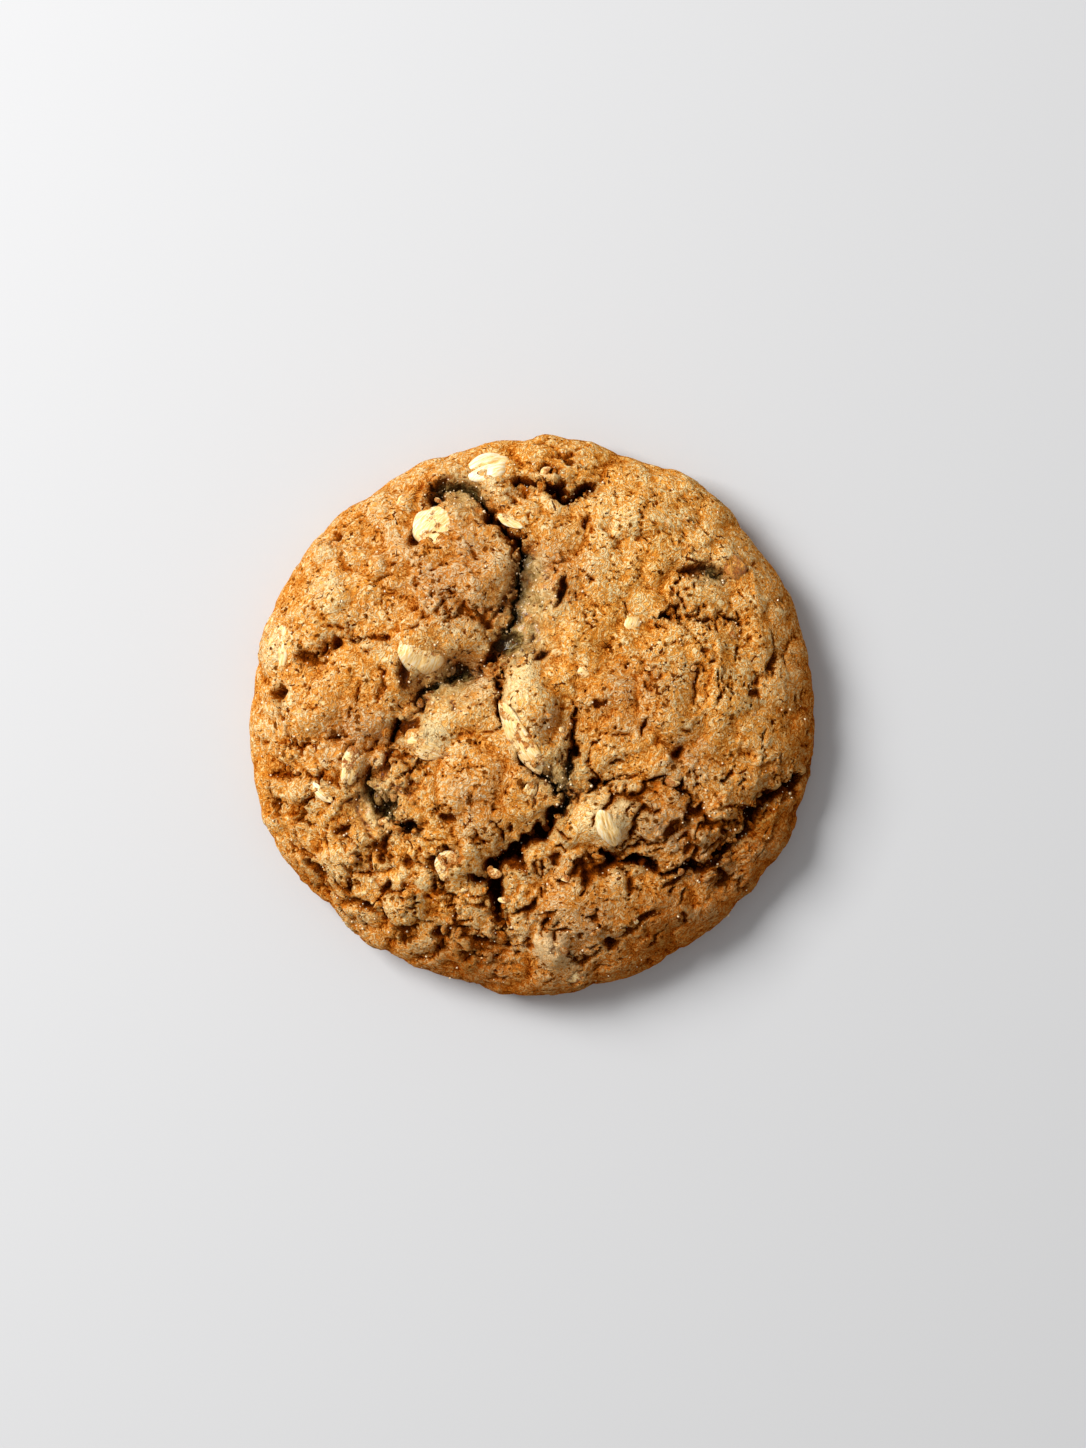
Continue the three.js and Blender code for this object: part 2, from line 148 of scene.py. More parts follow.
# Pits and short tears: x, y, half length, half width, turn in degrees, depth
PITS = [
    (-14.0, 33.0, 1.9, 0.7, 65, 2.6),
    (-16.8, 27.0, 1.6, 0.7, 60, 1.8),
    (-29.2, 26.3, 1.2, 0.5, 80, 1.3),
    (-29.6, 10.8, 0.9, 0.8, 0, 1.8),
    (-33.4, 8.4, 2.2, 0.4, -8, 1.3),
    (-37.9, 3.2, 1.2, 0.8, 10, 2.0),
    (-23.0, 11.8, 1.7, 0.35, 0, 1.0),
    (-19.1, 6.2, 2.4, 0.6, 95, 1.7),
    (-10.8, 6.3, 1.3, 1.1, 0, 2.2),
    (-6.2, 8.3, 1.0, 0.8, 0, 2.4),
    (-3.8, 10.8, 2.4, 1.5, 20, 2.8),
    (-6.8, 29.6, 0.7, 0.6, 0, 1.8),
    (7.8, 28.8, 1.4, 0.4, 70, 1.3),
    (4.3, 18.8, 2.2, 0.4, 72, 2.0),
    (24.6, 21.5, 2.6, 0.7, 12, 1.8),
    (1.2, 8.4, 1.2, 0.35, 25, 1.7),
    (35.6, 7.8, 1.5, 0.5, 65, 1.3),
    (33.0, 3.3, 0.9, 0.5, 0, 1.3),
    (9.7, 1.8, 0.7, 0.5, 0, 1.3),
    (16.6, -1.7, 1.4, 0.35, 80, 1.4),
    (21.3, -5.6, 1.0, 0.6, 60, 1.7),
    (-22.0, -13.6, 1.5, 1.2, 30, 3.2),
    (-18.6, -16.6, 1.4, 0.8, 5, 2.8),
    (-18.2, -1.8, 1.7, 1.3, 40, 1.6),
    (-24.4, -9.8, 2.0, 0.6, 85, 1.8),
    (-12.6, -15.0, 0.8, 0.6, 0, 1.6),
    (-1.8, -18.9, 1.1, 0.8, 20, 2.8),
    (-6.0, -22.1, 1.1, 0.9, 0, 2.8),
    (-8.2, -24.3, 1.4, 0.5, -10, 2.4),
    (-5.4, -27.6, 3.0, 0.8, 95, 2.6),
    (-24.4, -28.4, 0.9, 0.8, 0, 2.0),
    (-21.6, -25.6, 1.3, 0.5, 60, 1.6),
    (-18.3, -21.7, 0.9, 0.6, 50, 1.6),
    (-28.2, -16.8, 1.2, 0.6, 40, 1.5),
    (-6.4, -34.0, 2.8, 0.7, -8, 2.0),
    (-10.2, -32.0, 1.0, 0.7, 30, 1.5),
    (9.2, -9.8, 1.0, 0.6, 0, 2.4),
    (3.0, -14.4, 1.1, 0.7, 30, 2.2),
    (0.9, -17.6, 1.4, 0.9, 60, 1.7),
    (21.6, -9.8, 1.1, 0.5, 0, 1.7),
    (24.2, -14.2, 1.2, 0.7, 30, 1.7),
    (33.0, -14.3, 1.4, 1.1, 40, 2.8),
    (32.0, -17.0, 1.6, 0.6, 75, 2.0),
    (35.6, -12.4, 1.1, 0.7, 20, 1.9),
    (20.6, -16.6, 1.7, 0.7, 50, 1.4),
    (17.8, -22.6, 1.1, 0.6, -20, 2.4),
    (24.9, -22.4, 1.7, 0.9, -10, 2.8),
    (11.0, -22.6, 1.2, 0.7, 20, 1.8),
    (12.0, -33.8, 1.2, 0.8, -20, 2.0),
    (16.8, -29.6, 1.4, 0.5, 40, 1.4),
    (6.0, -39.0, 1.1, 0.6, 60, 1.7),
    (29.0, -25.0, 1.2, 0.6, 30, 1.6),
]
PIT_WARP = [(2.5, 0.7), (0.8, 0.4)]
PIT_EDGES = (0.75, 1.3)

# Rolled oats: x, y, length, width, turn and tilt in degrees, share under crust, side of it in degrees
OATS = [
    (-6.7, 37.2, 6.4, 5.4, 27, 0, -0.6, 0),
    (-14.2, 28.2, 7.8, 6.8, 50, 8, 0.12, -40),
    (-16.2, 9.2, 7.8, 7.0, 70, 0, 0.16, 50),
    (-38.0, 9.8, 7.4, 3.6, 82, 8, 0.25, 180),
    (-3.4, 28.9, 4.2, 1.9, -28, 0, 0.0, 60),
    (-18.8, 32.0, 3.6, 2.6, 30, 0, 0.4, -50),
    (-23.4, 22.4, 3.0, 2.2, 75, 0, 0.3, 0),
    (-30.0, 24.4, 4.0, 3.4, 20, 0, 0.5, 180),
    (-15.2, -4.2, 7.6, 4.8, -12, 0, 0.3, 95),
    (-26.8, -7.4, 6.4, 2.8, 80, 0, 0.25, 0),
    (-31.2, -11.5, 4.4, 1.4, -42, 0, -0.4, 0),
    (-0.4, -11.0, 4.0, 1.9, 64, 0, 0.1, 0),
    (-12.3, -22.0, 4.8, 4.0, 50, 0, 0.55, 0),
    (11.0, -16.8, 6.6, 3.2, -70, 0, -0.15, 20),
    (-2.0, -3.6, 12.5, 4.2, -60, 12, 0.2, 30),
    (14.6, 13.4, 4.4, 2.4, 75, 0, 0.1, 0),
    (30.2, 22.2, 4.6, 3.2, -62, 12, 0.0, 0),  # the amber lump
    (8.4, 6.5, 3.6, 2.6, 20, 0, 0.5, 0),
    (2.7, -35.0, 4.2, 3.2, 10, 0, 0.45, -60),
    (6.2, -39.0, 3.6, 2.4, 10, 0, 0.3, -60),
]
OAT_SEED = 5
OAT_RINGS = 10
OAT_SIDES = 44
OAT_PLUMP = 0.36  # thickness, as a share of the width
OAT_EDGE = 2.6
OAT_UNDERSIDE = 0.6
OAT_WAVES = range(2, 6)
OAT_UNEVEN = 0.16
OAT_LEAN = 0.15
OAT_GROOVES = [((-0.2, 0.1), 0.1, 1.0), ((0.3, 0.5), 0.07, 0.6)]  # limits of the place, breadth, strength
OAT_GROOVE_END = 1.1
BARE_GROOVES = 1.0  # strength on oats with a share below 0, and on the others
COATED_GROOVES = 0.2
OAT_CREASE = 0.3  # depth of a groove on an oat of the usual width
OAT_USUAL_WIDTH = 5
OAT_BOW = 0.15
OAT_BOW_LEVEL = 0.3
OAT_WARP = (2.2, 0.3)
OAT_APART = 50
OAT_SUNK = 0.11  # how deep an oat's middle lies, as a share of its width
OAT_REST = 0.8  # least reach of the crust that an oat lies on
OAT_REST_SHARE = 0.4
OAT_PALE = 0.3
OAT_EVEN = {"cavity_shade": 0.5, "broad_shade": 0.5, "torn": -1.5}
BED_SHIFT = 0.3  # the crust over an oat lies this share of its width to the covered side
BED_RISE = 0.62

# Small bits of oat, spread by draw
OAT_BITS = 40
OAT_BIT_REACH = 0.92 * RADIUS
OAT_BIT_LENGTH = (1.0, 2.4)
OAT_BIT_WIDTH = (0.4, 0.8)  # as a share of the length
OAT_BIT_COAT = 0.6

# Crumbs of crust and grains of sugar, spread by draw
BEDDING = 0.1  # how high the middle of each stands, as a share of its size
CRUMB_COUNT = 350
CRUMB_SEED = 23
CRUMB_SIZE = (0.6, 2.4)
CRUMB_WIDTH = (0.6, 1)  # width and height, as shares of the size
CRUMB_HEIGHT = (0.3, 0.7)
CRUMB_REACH = 37.5  # crumbs lie no further from the middle
CRUMB_LIP = 0.6  # depth in the cracks at which crumbs gather
CRUMB_BY_LIPS = 0.8
CRUMB_ELSEWHERE = 0.04
CRUMB_TILT = 0.5
CRUMB_CUTS = 9  # flat faces that make a crumb angular
CRUMB_CUT_AT = (0.4, 0.9)
CRUMB_CUT_SLANT = 0.1
CRUMB_CORNER = 1.2
# Share of the cracks' painted shade that a crumb lying in one takes
CRUMB_GAP = 0.3
# Painted cavity shade of the crumbs, drawn at random, a little darker than on open crust
CRUMB_CAVITY = (0.36, 0.52)
SUGAR_COUNT = 750
SUGAR_SEED = 31
SUGAR_SIZE = (0.14, 0.34)
SUGAR_SIDES = (0.7, 1)
SUGAR_ELSEWHERE = 0.25
SUGAR_ON_MOIST = 2.5
SUGAR_ON_CRUMB = 0.4
SUGAR_TILT = 0.9

# Broken crust: size of the plates and of the bits, and raggedness of their edges as wavelength and swing
PLATE_SIZE = 7.5
PLATE_WARP = [(8.0, 3.0), (3.0, 1.2), (1.2, 0.6), (0.6, 0.25)]
PLATE_STEP = 0.2
PLATE_SEAM = 0.15
PLATE_PLACE = 20  # where in the noise the plates are, apart from the bits
BIT_SIZE = 4.4
BIT_WARP = [(3.5, 1.1), (1.3, 0.5), (0.6, 0.22)]
BIT_STEP = 0.8
BIT_SEAM = 0.45
BIT_TEAR = 0.95
BIT_TILT = 0.8
BIT_MIX = 7.3
SEAM_FLOOR = 0.05
SEAM_WIDTH = 0.55

# Patches of relief: place in the noise, size, and the values at which a patch begins and is full
SEAM_PATCHES = (20, 7.0, -0.1, 0.25)
BIT_PATCHES = (60, 3.0, -0.25, 0.15)
HOLLOWS = (90, 1.25, 0.32, 0.42)
HOLLOW_PATCHES = (15, 4.0, -0.15, 0.2)
HOLLOW_DEPTH = 0.4

# Ledges and grain of the crust
LEDGE_PLACE = 40
LEDGE_SIZE = 5.0
LEDGE_SWING = 1.4
LEDGE_STEP = 0.34
LEDGE_EDGES = (0.4, 0.6)  # the steep part of a step
LEDGE_LEAST = 0.06
LEDGE_CRUMBLY = 0.22
FRACTAL = (0.8, 2.1, 6)  # roughness, ratio of the sizes, number of sizes
GRAIN = [(0.9, 0.05), (0.55, 0.04)]  # wavelength, height

# Torn gaps: size of their windings, widest share, depth
TEARS = [(6.5, 0.08, 1.8), (3.2, 0.1, 1.5)]
TEAR_STEEP = 0.035
TEAR_PLACES = (7, 9, 3)  # in the noise, for how common, how wide and how rough the gaps are
TEAR_PATCHES = (0.0, 0.45)
TEAR_LEAST = 0.15  # how common gaps are outside the coarse and the browned parts
TEAR_CLOSED = 0.05
TEAR_DEPTHS = (0.8, 0.7)  # middle and swing of the depth
TEAR_GRAIN = 1.0
TEAR_SLANT = 0.25  # gaps are commoner below a slanting line
TEAR_BAND = (-4, -26)

# Smaller parts of the relief
KNOB_WARP = (5.0, 3.4)  # how the cobbles' outlines wander: wavelength, swing
KNOB_SHARE = 0.5  # the cobbles' height, as a share of the solid's
CALM_RIM = (0.88, 0.98)  # shares of the radius between which the relief grows calmer
CALM_SHARE = 0.5
MOIST_CALM = 0.6
MOIST_EVEN = 0.9
MOIST_GAP = 0.4
CRACK_CRUMB = 0.5  # coarse crumb beside the cracks, and its reach
CRACK_CRUMB_REACH = 1.4
SIDE_CREASE = 0.16  # folds around the side: depth, stretch, size, width
SIDE_CREASE_STRETCH = (0.25, 0.25, 1)
SIDE_CREASE_SIZE = 1.1
SIDE_CREASE_WIDTH = 0.14
BASE_RELIEF = 0.25
BASE_RISE = 0.6

# Soft round spots of the crust: x, y, radius
CRUMBLY = [
    (-26, -24, 13),
    (-34, -10, 9),
    (-10, -31, 10),
    (34, -14, 8),
    (3, 38, 3),
    (-20, -8, 6),
    (29, -20, 5),
]
PALE = [
    (-15, -3, 4),
    (-38, 10, 3),
    (-0.5, 6, 3),
    (-3.4, 0.5, 1.8),
    (-2.2, -4.5, 1.6),
    (-30, 18, 4),
    (12, 29, 3),
    (-3, 4, 4),
    (12, -15, 5),
    (3, -34, 5),
]
AMBER = [(34, -16, 8), (20, -34, 10), (-10, -37, 7), (-36, -26, 5)]
# Browner spots: partly toast, partly painted shade toward the lower right
TOASTED_AND_SHADED = [
    (2.4, -1.6, 3),
    (-9.5, 5.5, 4),
    (14, 2, 8),
    (22, -6, 6),
    (3, 22, 6),
    (24, -30, 10),
    (-6, -41, 9),
    (6, -28, 8),
    (-12, 21, 11),
    (-8, -12, 8),
    (-26, -2, 7),
    (20, -16, 8),
    (28, -24, 9),
]
CARAMEL = [(30.2, 22.2, 1.8)]
MOIST = [
    (-0.4, 16.5, 3.8),
    (-0.6, 21, 2.6),
    (-1.4, 12, 3.6),
    (-10.4, 33, 3.0),
    (-13, 5, 4.5),
    (3.5, -9.5, 3.0),
    (-23, -13, 3.5),
    (26.7, 21, 2.0),
]

# Values that the crust's material reads, averaged over rounds of neighbours where a count is given
GAP_ROUNDS = 3
GAP_FULL = 3.0  # depth at which a gap is painted fully dark, as its shade
CAVITY_ROUNDS = 14
CAVITY_LOW = 0.8  # how strongly hollows and bumps count: hollows are painted darker and redder as shade, bumps a little lighter
CAVITY_HIGH = 0.2
# Broad hollows are painted darker as shade, and broad rises lighter
BROAD_ROUNDS = 120
BROAD_SHARE = 0.5
GLOW_ROUNDS = 16
GLOW = 1.6  # a warm glow painted around gaps and in hollows, standing in for light bounced in them, and the most of it
GLOW_MOST = 0.8
TORN_CALM = 1.8
BROWN_AND_SHADE_SIDE = math.radians(-50)  # the rim is browner on this side, away from the key light: partly real browning, partly painted shade
BROWN_AND_SHADE_SPAN = (-0.5, 1.0)
SHADE_PAINTED_SIDE = math.radians(150)  # the crust is painted a little darker on this side, which faces the key light, as shade that softens its light
SHADE_PAINTED_SIDE_SHARE = 0.5
TOAST_SHARE = 0.9
TOAST_RIM = 5  # the higher, the closer the rim's toast and amber keep to the rim; both are partly painted shade
AMBER_RIM = 6
BASE_BROWN = 0.6

# Colours by tone: place along the tone, and red, green and blue
CRUST_TONES = [
    (0.0, (0.08, 0.01, 0.0005)),
    (0.2, (0.32, 0.052, 0.0015)),
    (0.4, (0.6, 0.165, 0.009)),
    (0.6, (0.84, 0.32, 0.038)),
    (0.8, (0.94, 0.485, 0.112)),
    (1.0, (0.96, 0.74, 0.37)),
]
# Painted shade in the cracks, pits, tears and fissures, darker with depth
CREVICE_SHADE_TONES = [
    (0.1, (0.55, 0.18, 0.01)),
    (0.22, (0.36, 0.085, 0.004)),
    (0.4, (0.16, 0.028, 0.001)),
    (0.7, (0.05, 0.008, 0.001)),
]
DOUGH_TONES = [(0.1, (0.3, 0.185, 0.05)), (0.9, (0.66, 0.46, 0.19))]
# A darker copy of the moist dough, painted as its shade in the cracks
SHADED_DOUGH_TONES = [(0.2, (0.1, 0.05, 0.009)), (0.8, (0.42, 0.28, 0.085))]
GLAZE_TONES = [(0.1, (0.42, 0.1, 0.005)), (0.9, (0.82, 0.34, 0.04))]
OAT_TONES = [
    (0.0, (0.5, 0.22, 0.04)),
    (0.35, (0.8, 0.45, 0.12)),
    (0.7, (0.94, 0.65, 0.27)),
    (1.0, (0.95, 0.82, 0.57)),
]
SUGAR_TONES = [(0.35, (0.8, 0.5, 0.22)), (0.65, (0.98, 0.84, 0.58))]
# Pores are painted this dark, as the shade inside them
PORE_SHADE_COLOUR = (0.17, 0.04, 0.003)
# Multiplied in where the crust is toasted; this also paints shade on the side facing the key light and on
# the rim away from it
TOAST_TINT = (0.72, 0.64, 0.7)
# Multiplied in where the crust is amber, and where a warm glow is painted around gaps, hollows and pores
AMBER_TINT = (0.62, 0.41, 0.17)

# How much each pattern lightens the crust, and how high each stands
TONE_MIDDLE = 0.2
TONE_WEIGHTS = {
    "cavity_shade": 1.2,
    "strokes": 0.3,
    "mottle": 0.12,
    "coarse": 0.08,
    "hairline_shade": -0.32,
    "pale_grains": 0.12,
    "dark_grains": -0.12,
    "grain_gap_shade": -0.1,
    "broad_shade": 0.2,
    "blotches": 0.2,
    "pale": 0.26,
}
HEIGHT_WEIGHTS = {
    "openings": -0.6,
    "mottle": 0.2,
    "strokes": 0.25,
    "coarse": 0.15,
    "small": 0.1,
    "grain_edges": -0.2,
}

# Patterns of the paint: a noise is scale per mm, detail and roughness, and edges are where it counts
NOISE_MIDDLE = (0.3, 0.7)  # most of a noise lies between these
STROKE_TURNS = 3  # directions of the crust's fine fibres
STROKE_SCALE = (0.8, 3.6, 2.6)  # fibres are long the first way and close together the others
STROKE_NOISE = (1.0, 2.0, 0.6)
STROKE_DISTORTION = 0.4
STROKE_APART = Vector((31, 17, 0))
STROKE_BEND = (0.7, 2.4)
STROKE_PATCHES = (0.33, 2.0)
STROKE_PATCH_EDGES = (0.46, 0.54)
STROKE_EDGES = (0.38, 0.62)
# Thin lines along the fibres are painted dark, as the shade of hairline cracks
HAIR_LEVEL = 0.47
HAIR_WIDTH = 0.05
MOTTLE_NOISE = (1.1, 4.0, 0.65)
MOTTLE_DISTORTION = 0.5
MOTTLE_EDGES = (0.32, 0.68)
BLOTCH_NOISE = (0.14, 3.0, 0.55)
TOAST_SPAN = (0.2, 0.6, 0.5, 1.0)
GRAIN_BEND = (1.6, 0.9)
COARSE_SCALE = 1.3
SMALL_SCALE = 2.7
# Grains are painted darker towards their edges, as the shade between them
GRAIN_GAP_EDGES = (0.4, 0.8)
PALE_GRAIN_EDGES = (0.25, 0.45)
DARK_GRAIN_EDGES = (-0.5, -0.4)
WIDE_PORES = (0.8, 0.28)  # cells per mm, and reach of the widest as a share of a cell
FINE_PORES = (1.5, 0.34)
FINE_PORES_FEWER = 0.04
FINE_PORE_TURN = (0, 0, 0.6)
FINE_PORE_SCALE = (0.65, 1.4, 1.0)
PORE_SIZES = (0.35, 1.0, -0.05)  # draws below the first have no pore
PORE_RAGGED = 0.04
PORE_RAGGED_NOISE = (3.5, 2.0)
PORE_CROWD_NOISE = (0.3, 1.0)
PORE_CROWD_SPAN = (0.35, 0.6, -0.14, 0.0)
PORE_CROWD_WEIGHTS = {"torn": 0.08, "toast_and_shade": 0.05}
PORE_EDGES = (-0.04, 0.02)
# How fully the pores are painted with their shade
PORE_SHADE_SHARE = 0.9
# A warm glow is painted round each pore, standing in for light scattered through the crust beside its shade
HALO_EDGES = (0.0, 0.22)
FISSURE_SCALE = 0.4
FISSURE_NOISE = (0.4, 3.0, 0.7)
FISSURE_SPAN = (0.52, 0.8, -0.03, 0.12)
FISSURE_TORN = 0.04
FISSURE_EDGES = (-0.02, 0.02)
# How far into the cracks' painted shade the fissures are painted
FISSURE_SHADE = 0.45
CREVICE_NOISE = (1.5, 3.0, 0.8)
CREVICE_RAGGED = 0.34
CREVICE_EDGES = (0.2, 0.25)
MOIST_SCALE = 0.5
MOIST_SPAN = (0.3, 0.6, 0.4, 1.0)
DOUGH_SHARE = 0.85
GLAZE_SPAN = (0.3, 0.55, 0.0, 0.9)
OAT_FIBRE_SCALE = (0.7, 3.6)
OAT_FIBRE_NOISE = (1.0, 3.0, 0.6)
OAT_FIBRE_TONE = (0.36, 1.0)
OAT_FIBRE_HEIGHT = 0.15
OAT_FOLD_TONE = -0.6
OAT_BARE_SPAN = (-0.7, 0.1, 0.3, 0.0)
OAT_COVER_NOISE = (0.6, 4.0, 0.75)
OAT_COVER_EDGES = (0.15, 0.5)
SUGAR_SCALE = 0.9

# Finish of the materials
BUMP_HEIGHT = 0.5
CRUST_ROUGHNESS = (0.34, 0.2)  # dry and moist
OAT_ROUGHNESS = 0.38
OAT_SPECULAR = 0.3
SUGAR_ROUGHNESS = 0.14
GLOSS = 0.35  # of moist dough and the amber lump
GLOSS_ROUGHNESS = 0.12

# The floor and the light, in metres and watts
FLOOR_HALF = 5.0
FLOOR_DROP = 0.05 * MM
FLOOR_COLOUR = (0.6, 0.6, 0.605, 1)
FLOOR_ROUGHNESS = 0.9
FLOOR_SPECULAR = 0.1
KEY_AZIMUTH = math.radians(150)
KEY_ELEVATION = math.radians(43)
KEY_DISTANCE = 0.9
KEY_SIZE = 0.46
KEY_POWER = 11.4
SKY_COLOUR = (1, 1, 1, 1)
SKY_STRENGTH = 0.38

# The camera, in millimetres
PHOTO_MIDDLE = (1.65, -1.35)  # the frame's middle, from the cookie's
PHOTO_TALL = 217.2  # the frame's long side at the cookie's widest part
LENS = 85.0
SENSOR = 36.0
CLIP_START = 10


def seeded(seed):
    """Repeatable draws between 0 and 1, the same as the solid's."""
    mask = 0xFFFFFFFF
    state = seed
    while True:
        state = (state + 0x6D2B79F5) & mask
        mixed = ((state ^ (state >> 15)) * (state | 1)) & mask
        mixed = ((mixed + ((mixed ^ (mixed >> 7)) * (mixed | 61))) & mask) ^ mixed
        yield (mixed ^ (mixed >> 14)) / 2**32


def between(limits, share):
    return limits[0] + (limits[1] - limits[0]) * share


def smoothstep(low, high, value):
    share = np.clip((value - low) / (high - low), 0, 1)
    return share * share * (3 - 2 * share)


def bell(value, reach):
    return np.exp(-((value / reach) ** 2))


def heading(angle):
    return np.array([math.cos(angle), math.sin(angle)])


def turned(x, y, degrees):
    """Lengths along and across a direction."""
    c, s = heading(math.radians(degrees))
    return x * c + y * s, y * c - x * s


def unit(directions):
    return directions / np.linalg.norm(directions, axis=-1, keepdims=True)


def outline(angle):
    radius = np.full_like(angle, RADIUS)
    for waves, swing, phase in OUTLINE_WAVES:
        radius += swing * np.cos(waves * angle + math.radians(phase))
    return radius


def make_cobbles():
    draw = seeded(COBBLE_SEED)
    golden = math.pi * (3 - math.sqrt(5))
    rows = []
    for i in range(COBBLE_COUNT):
        reach = COBBLE_REACH * math.sqrt(i / COBBLE_COUNT)
        x = reach * math.cos(i * golden) + between(COBBLE_SHIFT, next(draw))
        y = reach * math.sin(i * golden) + between(COBBLE_SHIFT, next(draw))
        rows.append((x, y, between(COBBLE_TOP, next(draw))))
    return rows


def cobbles(x, y):
    total = np.zeros_like(x)
    for cobble_x, cobble_y, top in make_cobbles():
        drop = COBBLE_CURVE * ((x - cobble_x) ** 2 + (y - cobble_y) ** 2)
        total += np.exp(COBBLE_BLEND * (top - drop))
    return np.log(total) / COBBLE_BLEND


def smooth_line(corners):
    """A Catmull-Rom line through the corners, as an array of points."""
    p = np.array(corners, float)
    p = np.vstack([2 * p[0] - p[1], p, 2 * p[-1] - p[-2]])
    t = np.linspace(0, 1, CRACK_SAMPLES, endpoint=False)[:, None]
    spans = []
    for a, b, c, d in zip(p, p[1:], p[2:], p[3:]):
        spans.append(b + 0.5 * t * (c - a + t * (2 * a - 5 * b + 4 * c - d + t * (3 * b - 3 * c + d - a))))
    return np.vstack(spans + [p[-2:-1]])


def crack_fields(x, y, ragged):
    """Distance to the nearest crack, depth of the gap, its deep split, which is painted dark as shade, and
    how much is gentle moist wall.
    """
    nearest = np.full_like(x, FAR)
    gap = np.zeros_like(x)
    dark = np.zeros_like(x)
    apron = np.zeros_like(x)
    margin = PLATE_REACH * PLATE_SHOULDER
    for width, depth, foot, corners in CRACKS:
        line = smooth_line(corners)
        taper = between((CRACK_TIP, 1), np.sqrt(np.sin(np.linspace(0, math.pi, len(line))).clip(0)))
        row = np.full(len(line), depth * CRACK_APART)
        opening = 0.5 + perlin(np.column_stack([line, row]), CRACK_OPEN_SPAN)
        open_share = taper * between(CRACK_OPEN, np.clip(opening, 0, 1))
        low = line.min(axis=0) - margin
        high = line.max(axis=0) + margin
        near = np.flatnonzero((x > low[0]) & (x < high[0]) & (y > low[1]) & (y < high[1]))
        for some in np.array_split(near, max(1, len(near) // POINTS_AT_ONCE)):
            away = np.hypot(x[some, None] - line[:, 0], y[some, None] - line[:, 1])
            nearest[some] = np.minimum(nearest[some], away.min(axis=1))
            offset = ragged[some, None, :2] - line
            away = np.linalg.norm(offset, axis=2)
            at = away.argmin(axis=1)
            least = away.min(axis=1)
            side = (offset[np.arange(len(at)), at] @ heading(APRON_DIRECTION)) / (least + APRON_SOFT)
            core = 1 - smoothstep(*CRACK_EDGES, least / (0.5 * width * open_share[at] + CRACK_SLIT))
            wall = smoothstep(*APRON_SIDE, side) * (1 - smoothstep(0, 1, least / (foot * taper[at])))
            wall *= taper[at]
            apron[some] = np.maximum(apron[some], wall)
            split = depth * np.sqrt(open_share[at]).clip(0, 1) * core
            dark[some] = np.maximum(dark[some], split)
            gap[some] = np.maximum(gap[some], np.maximum(split, depth * APRON_DEPTH * wall))
    return nearest, gap, dark, apron


def swells(x, y):
    height = np.zeros_like(x)
    for swell_x, swell_y, long, wide, turn, rise in SWELLS:
        along, across = turned(x - swell_x, y - swell_y, turn)
        height += rise * np.exp(-(((along / long) ** 2 + (across / wide) ** 2) ** SWELL_EDGE))
    return height


def pits(points):
    deepest = np.zeros(len(points))
    ragged = warped(points, PIT_WARP)
    for pit_x, pit_y, long, wide, turn, depth in PITS:
        along, across = turned(ragged[:, 0] - pit_x, ragged[:, 1] - pit_y, turn)
        inside = 1 - smoothstep(*PIT_EDGES, np.hypot(along / long, across / wide))
        deepest = np.maximum(deepest, depth * inside)
    return deepest


def oat_beds(x, y):
    """Crust that rises over the covered side of each oat."""
    height = np.zeros_like(x)
    for oat_x, oat_y, length, width, turn, _, coat, side in OATS:
        shift_x, shift_y = BED_SHIFT * width * heading(math.radians(side))
        along, across = turned(x - oat_x - shift_x, y - oat_y - shift_y, turn)
        apart = (along / (0.5 * length)) ** 2 + (across / (0.5 * width)) ** 2
        height += BED_RISE * width * max(coat, 0) * np.exp(-apart)
    return height


def cube_sphere():
    """A unit sphere of even quads."""
    bm = bmesh.new()
    bmesh.ops.create_cube(bm, size=2)
    bmesh.ops.subdivide_edges(bm, edges=bm.edges, cuts=BODY_CUTS, use_grid_fill=True)
    mesh = bpy.data.meshes.new("crust")
    bm.to_mesh(mesh)
    bm.free()
    points = np.empty(len(mesh.vertices) * 3)
    mesh.vertices.foreach_get("co", points)
    points = np.tan(points.reshape(-1, 3) * math.pi / 4)
    return mesh, unit(points)


def set_points(mesh, points):
    mesh.vertices.foreach_set("co", points.ravel())
    mesh.update()


def normals_of(mesh):
    out = np.empty(len(mesh.vertices) * 3)
    mesh.vertex_normals.foreach_get("vector", out)
    return out.reshape(-1, 3)


def vertex_area(mesh):
    area = np.empty(len(mesh.polygons))
    mesh.polygons.foreach_get("area", area)
    corners = np.empty(len(mesh.loops), int)
    mesh.loops.foreach_get("vertex_index", corners)
    return np.bincount(corners, np.repeat(area, 4), len(mesh.vertices))


def vectors(points, size):
    return [Vector(p) for p in points / size]


def perlin(points, size):
    return np.array([noise.noise(p) for p in vectors(points, size)])


def drift(points, size):
    return np.array([noise.noise_vector(p) for p in vectors(points, size)])


def fractal(points, size):
    return np.array([noise.fractal(p, *FRACTAL) for p in vectors(points, size)])


def patches(points, place, size, low, high):
    """Soft-edged patches, 1 inside them. Each place in the noise has its own."""
    return smoothstep(low, high, perlin(points + place, size))


def chunks(points, size):
    """Broken bits of crust: distance in mm to the nearest break, and a random tilted level for each bit."""
    edge = np.empty(len(points))
    level = np.empty(len(points))
    for i, place in enumerate(vectors(points, size)):
        distances, seeds = noise.voronoi(place)
        edge[i] = (distances[1] - distances[0]) * size
        lean = noise.cell_vector(seeds[0] * BIT_MIX) - Vector((0.5, 0.5, 0.5))
        level[i] = lean.z + BIT_TILT * lean.xy.dot((place - seeds[0]).xy) * size
    return edge, level


def warped(points, warp):
    moved = points.copy()
    for size, swing in warp:
        moved += swing * drift(points, size)
    return moved


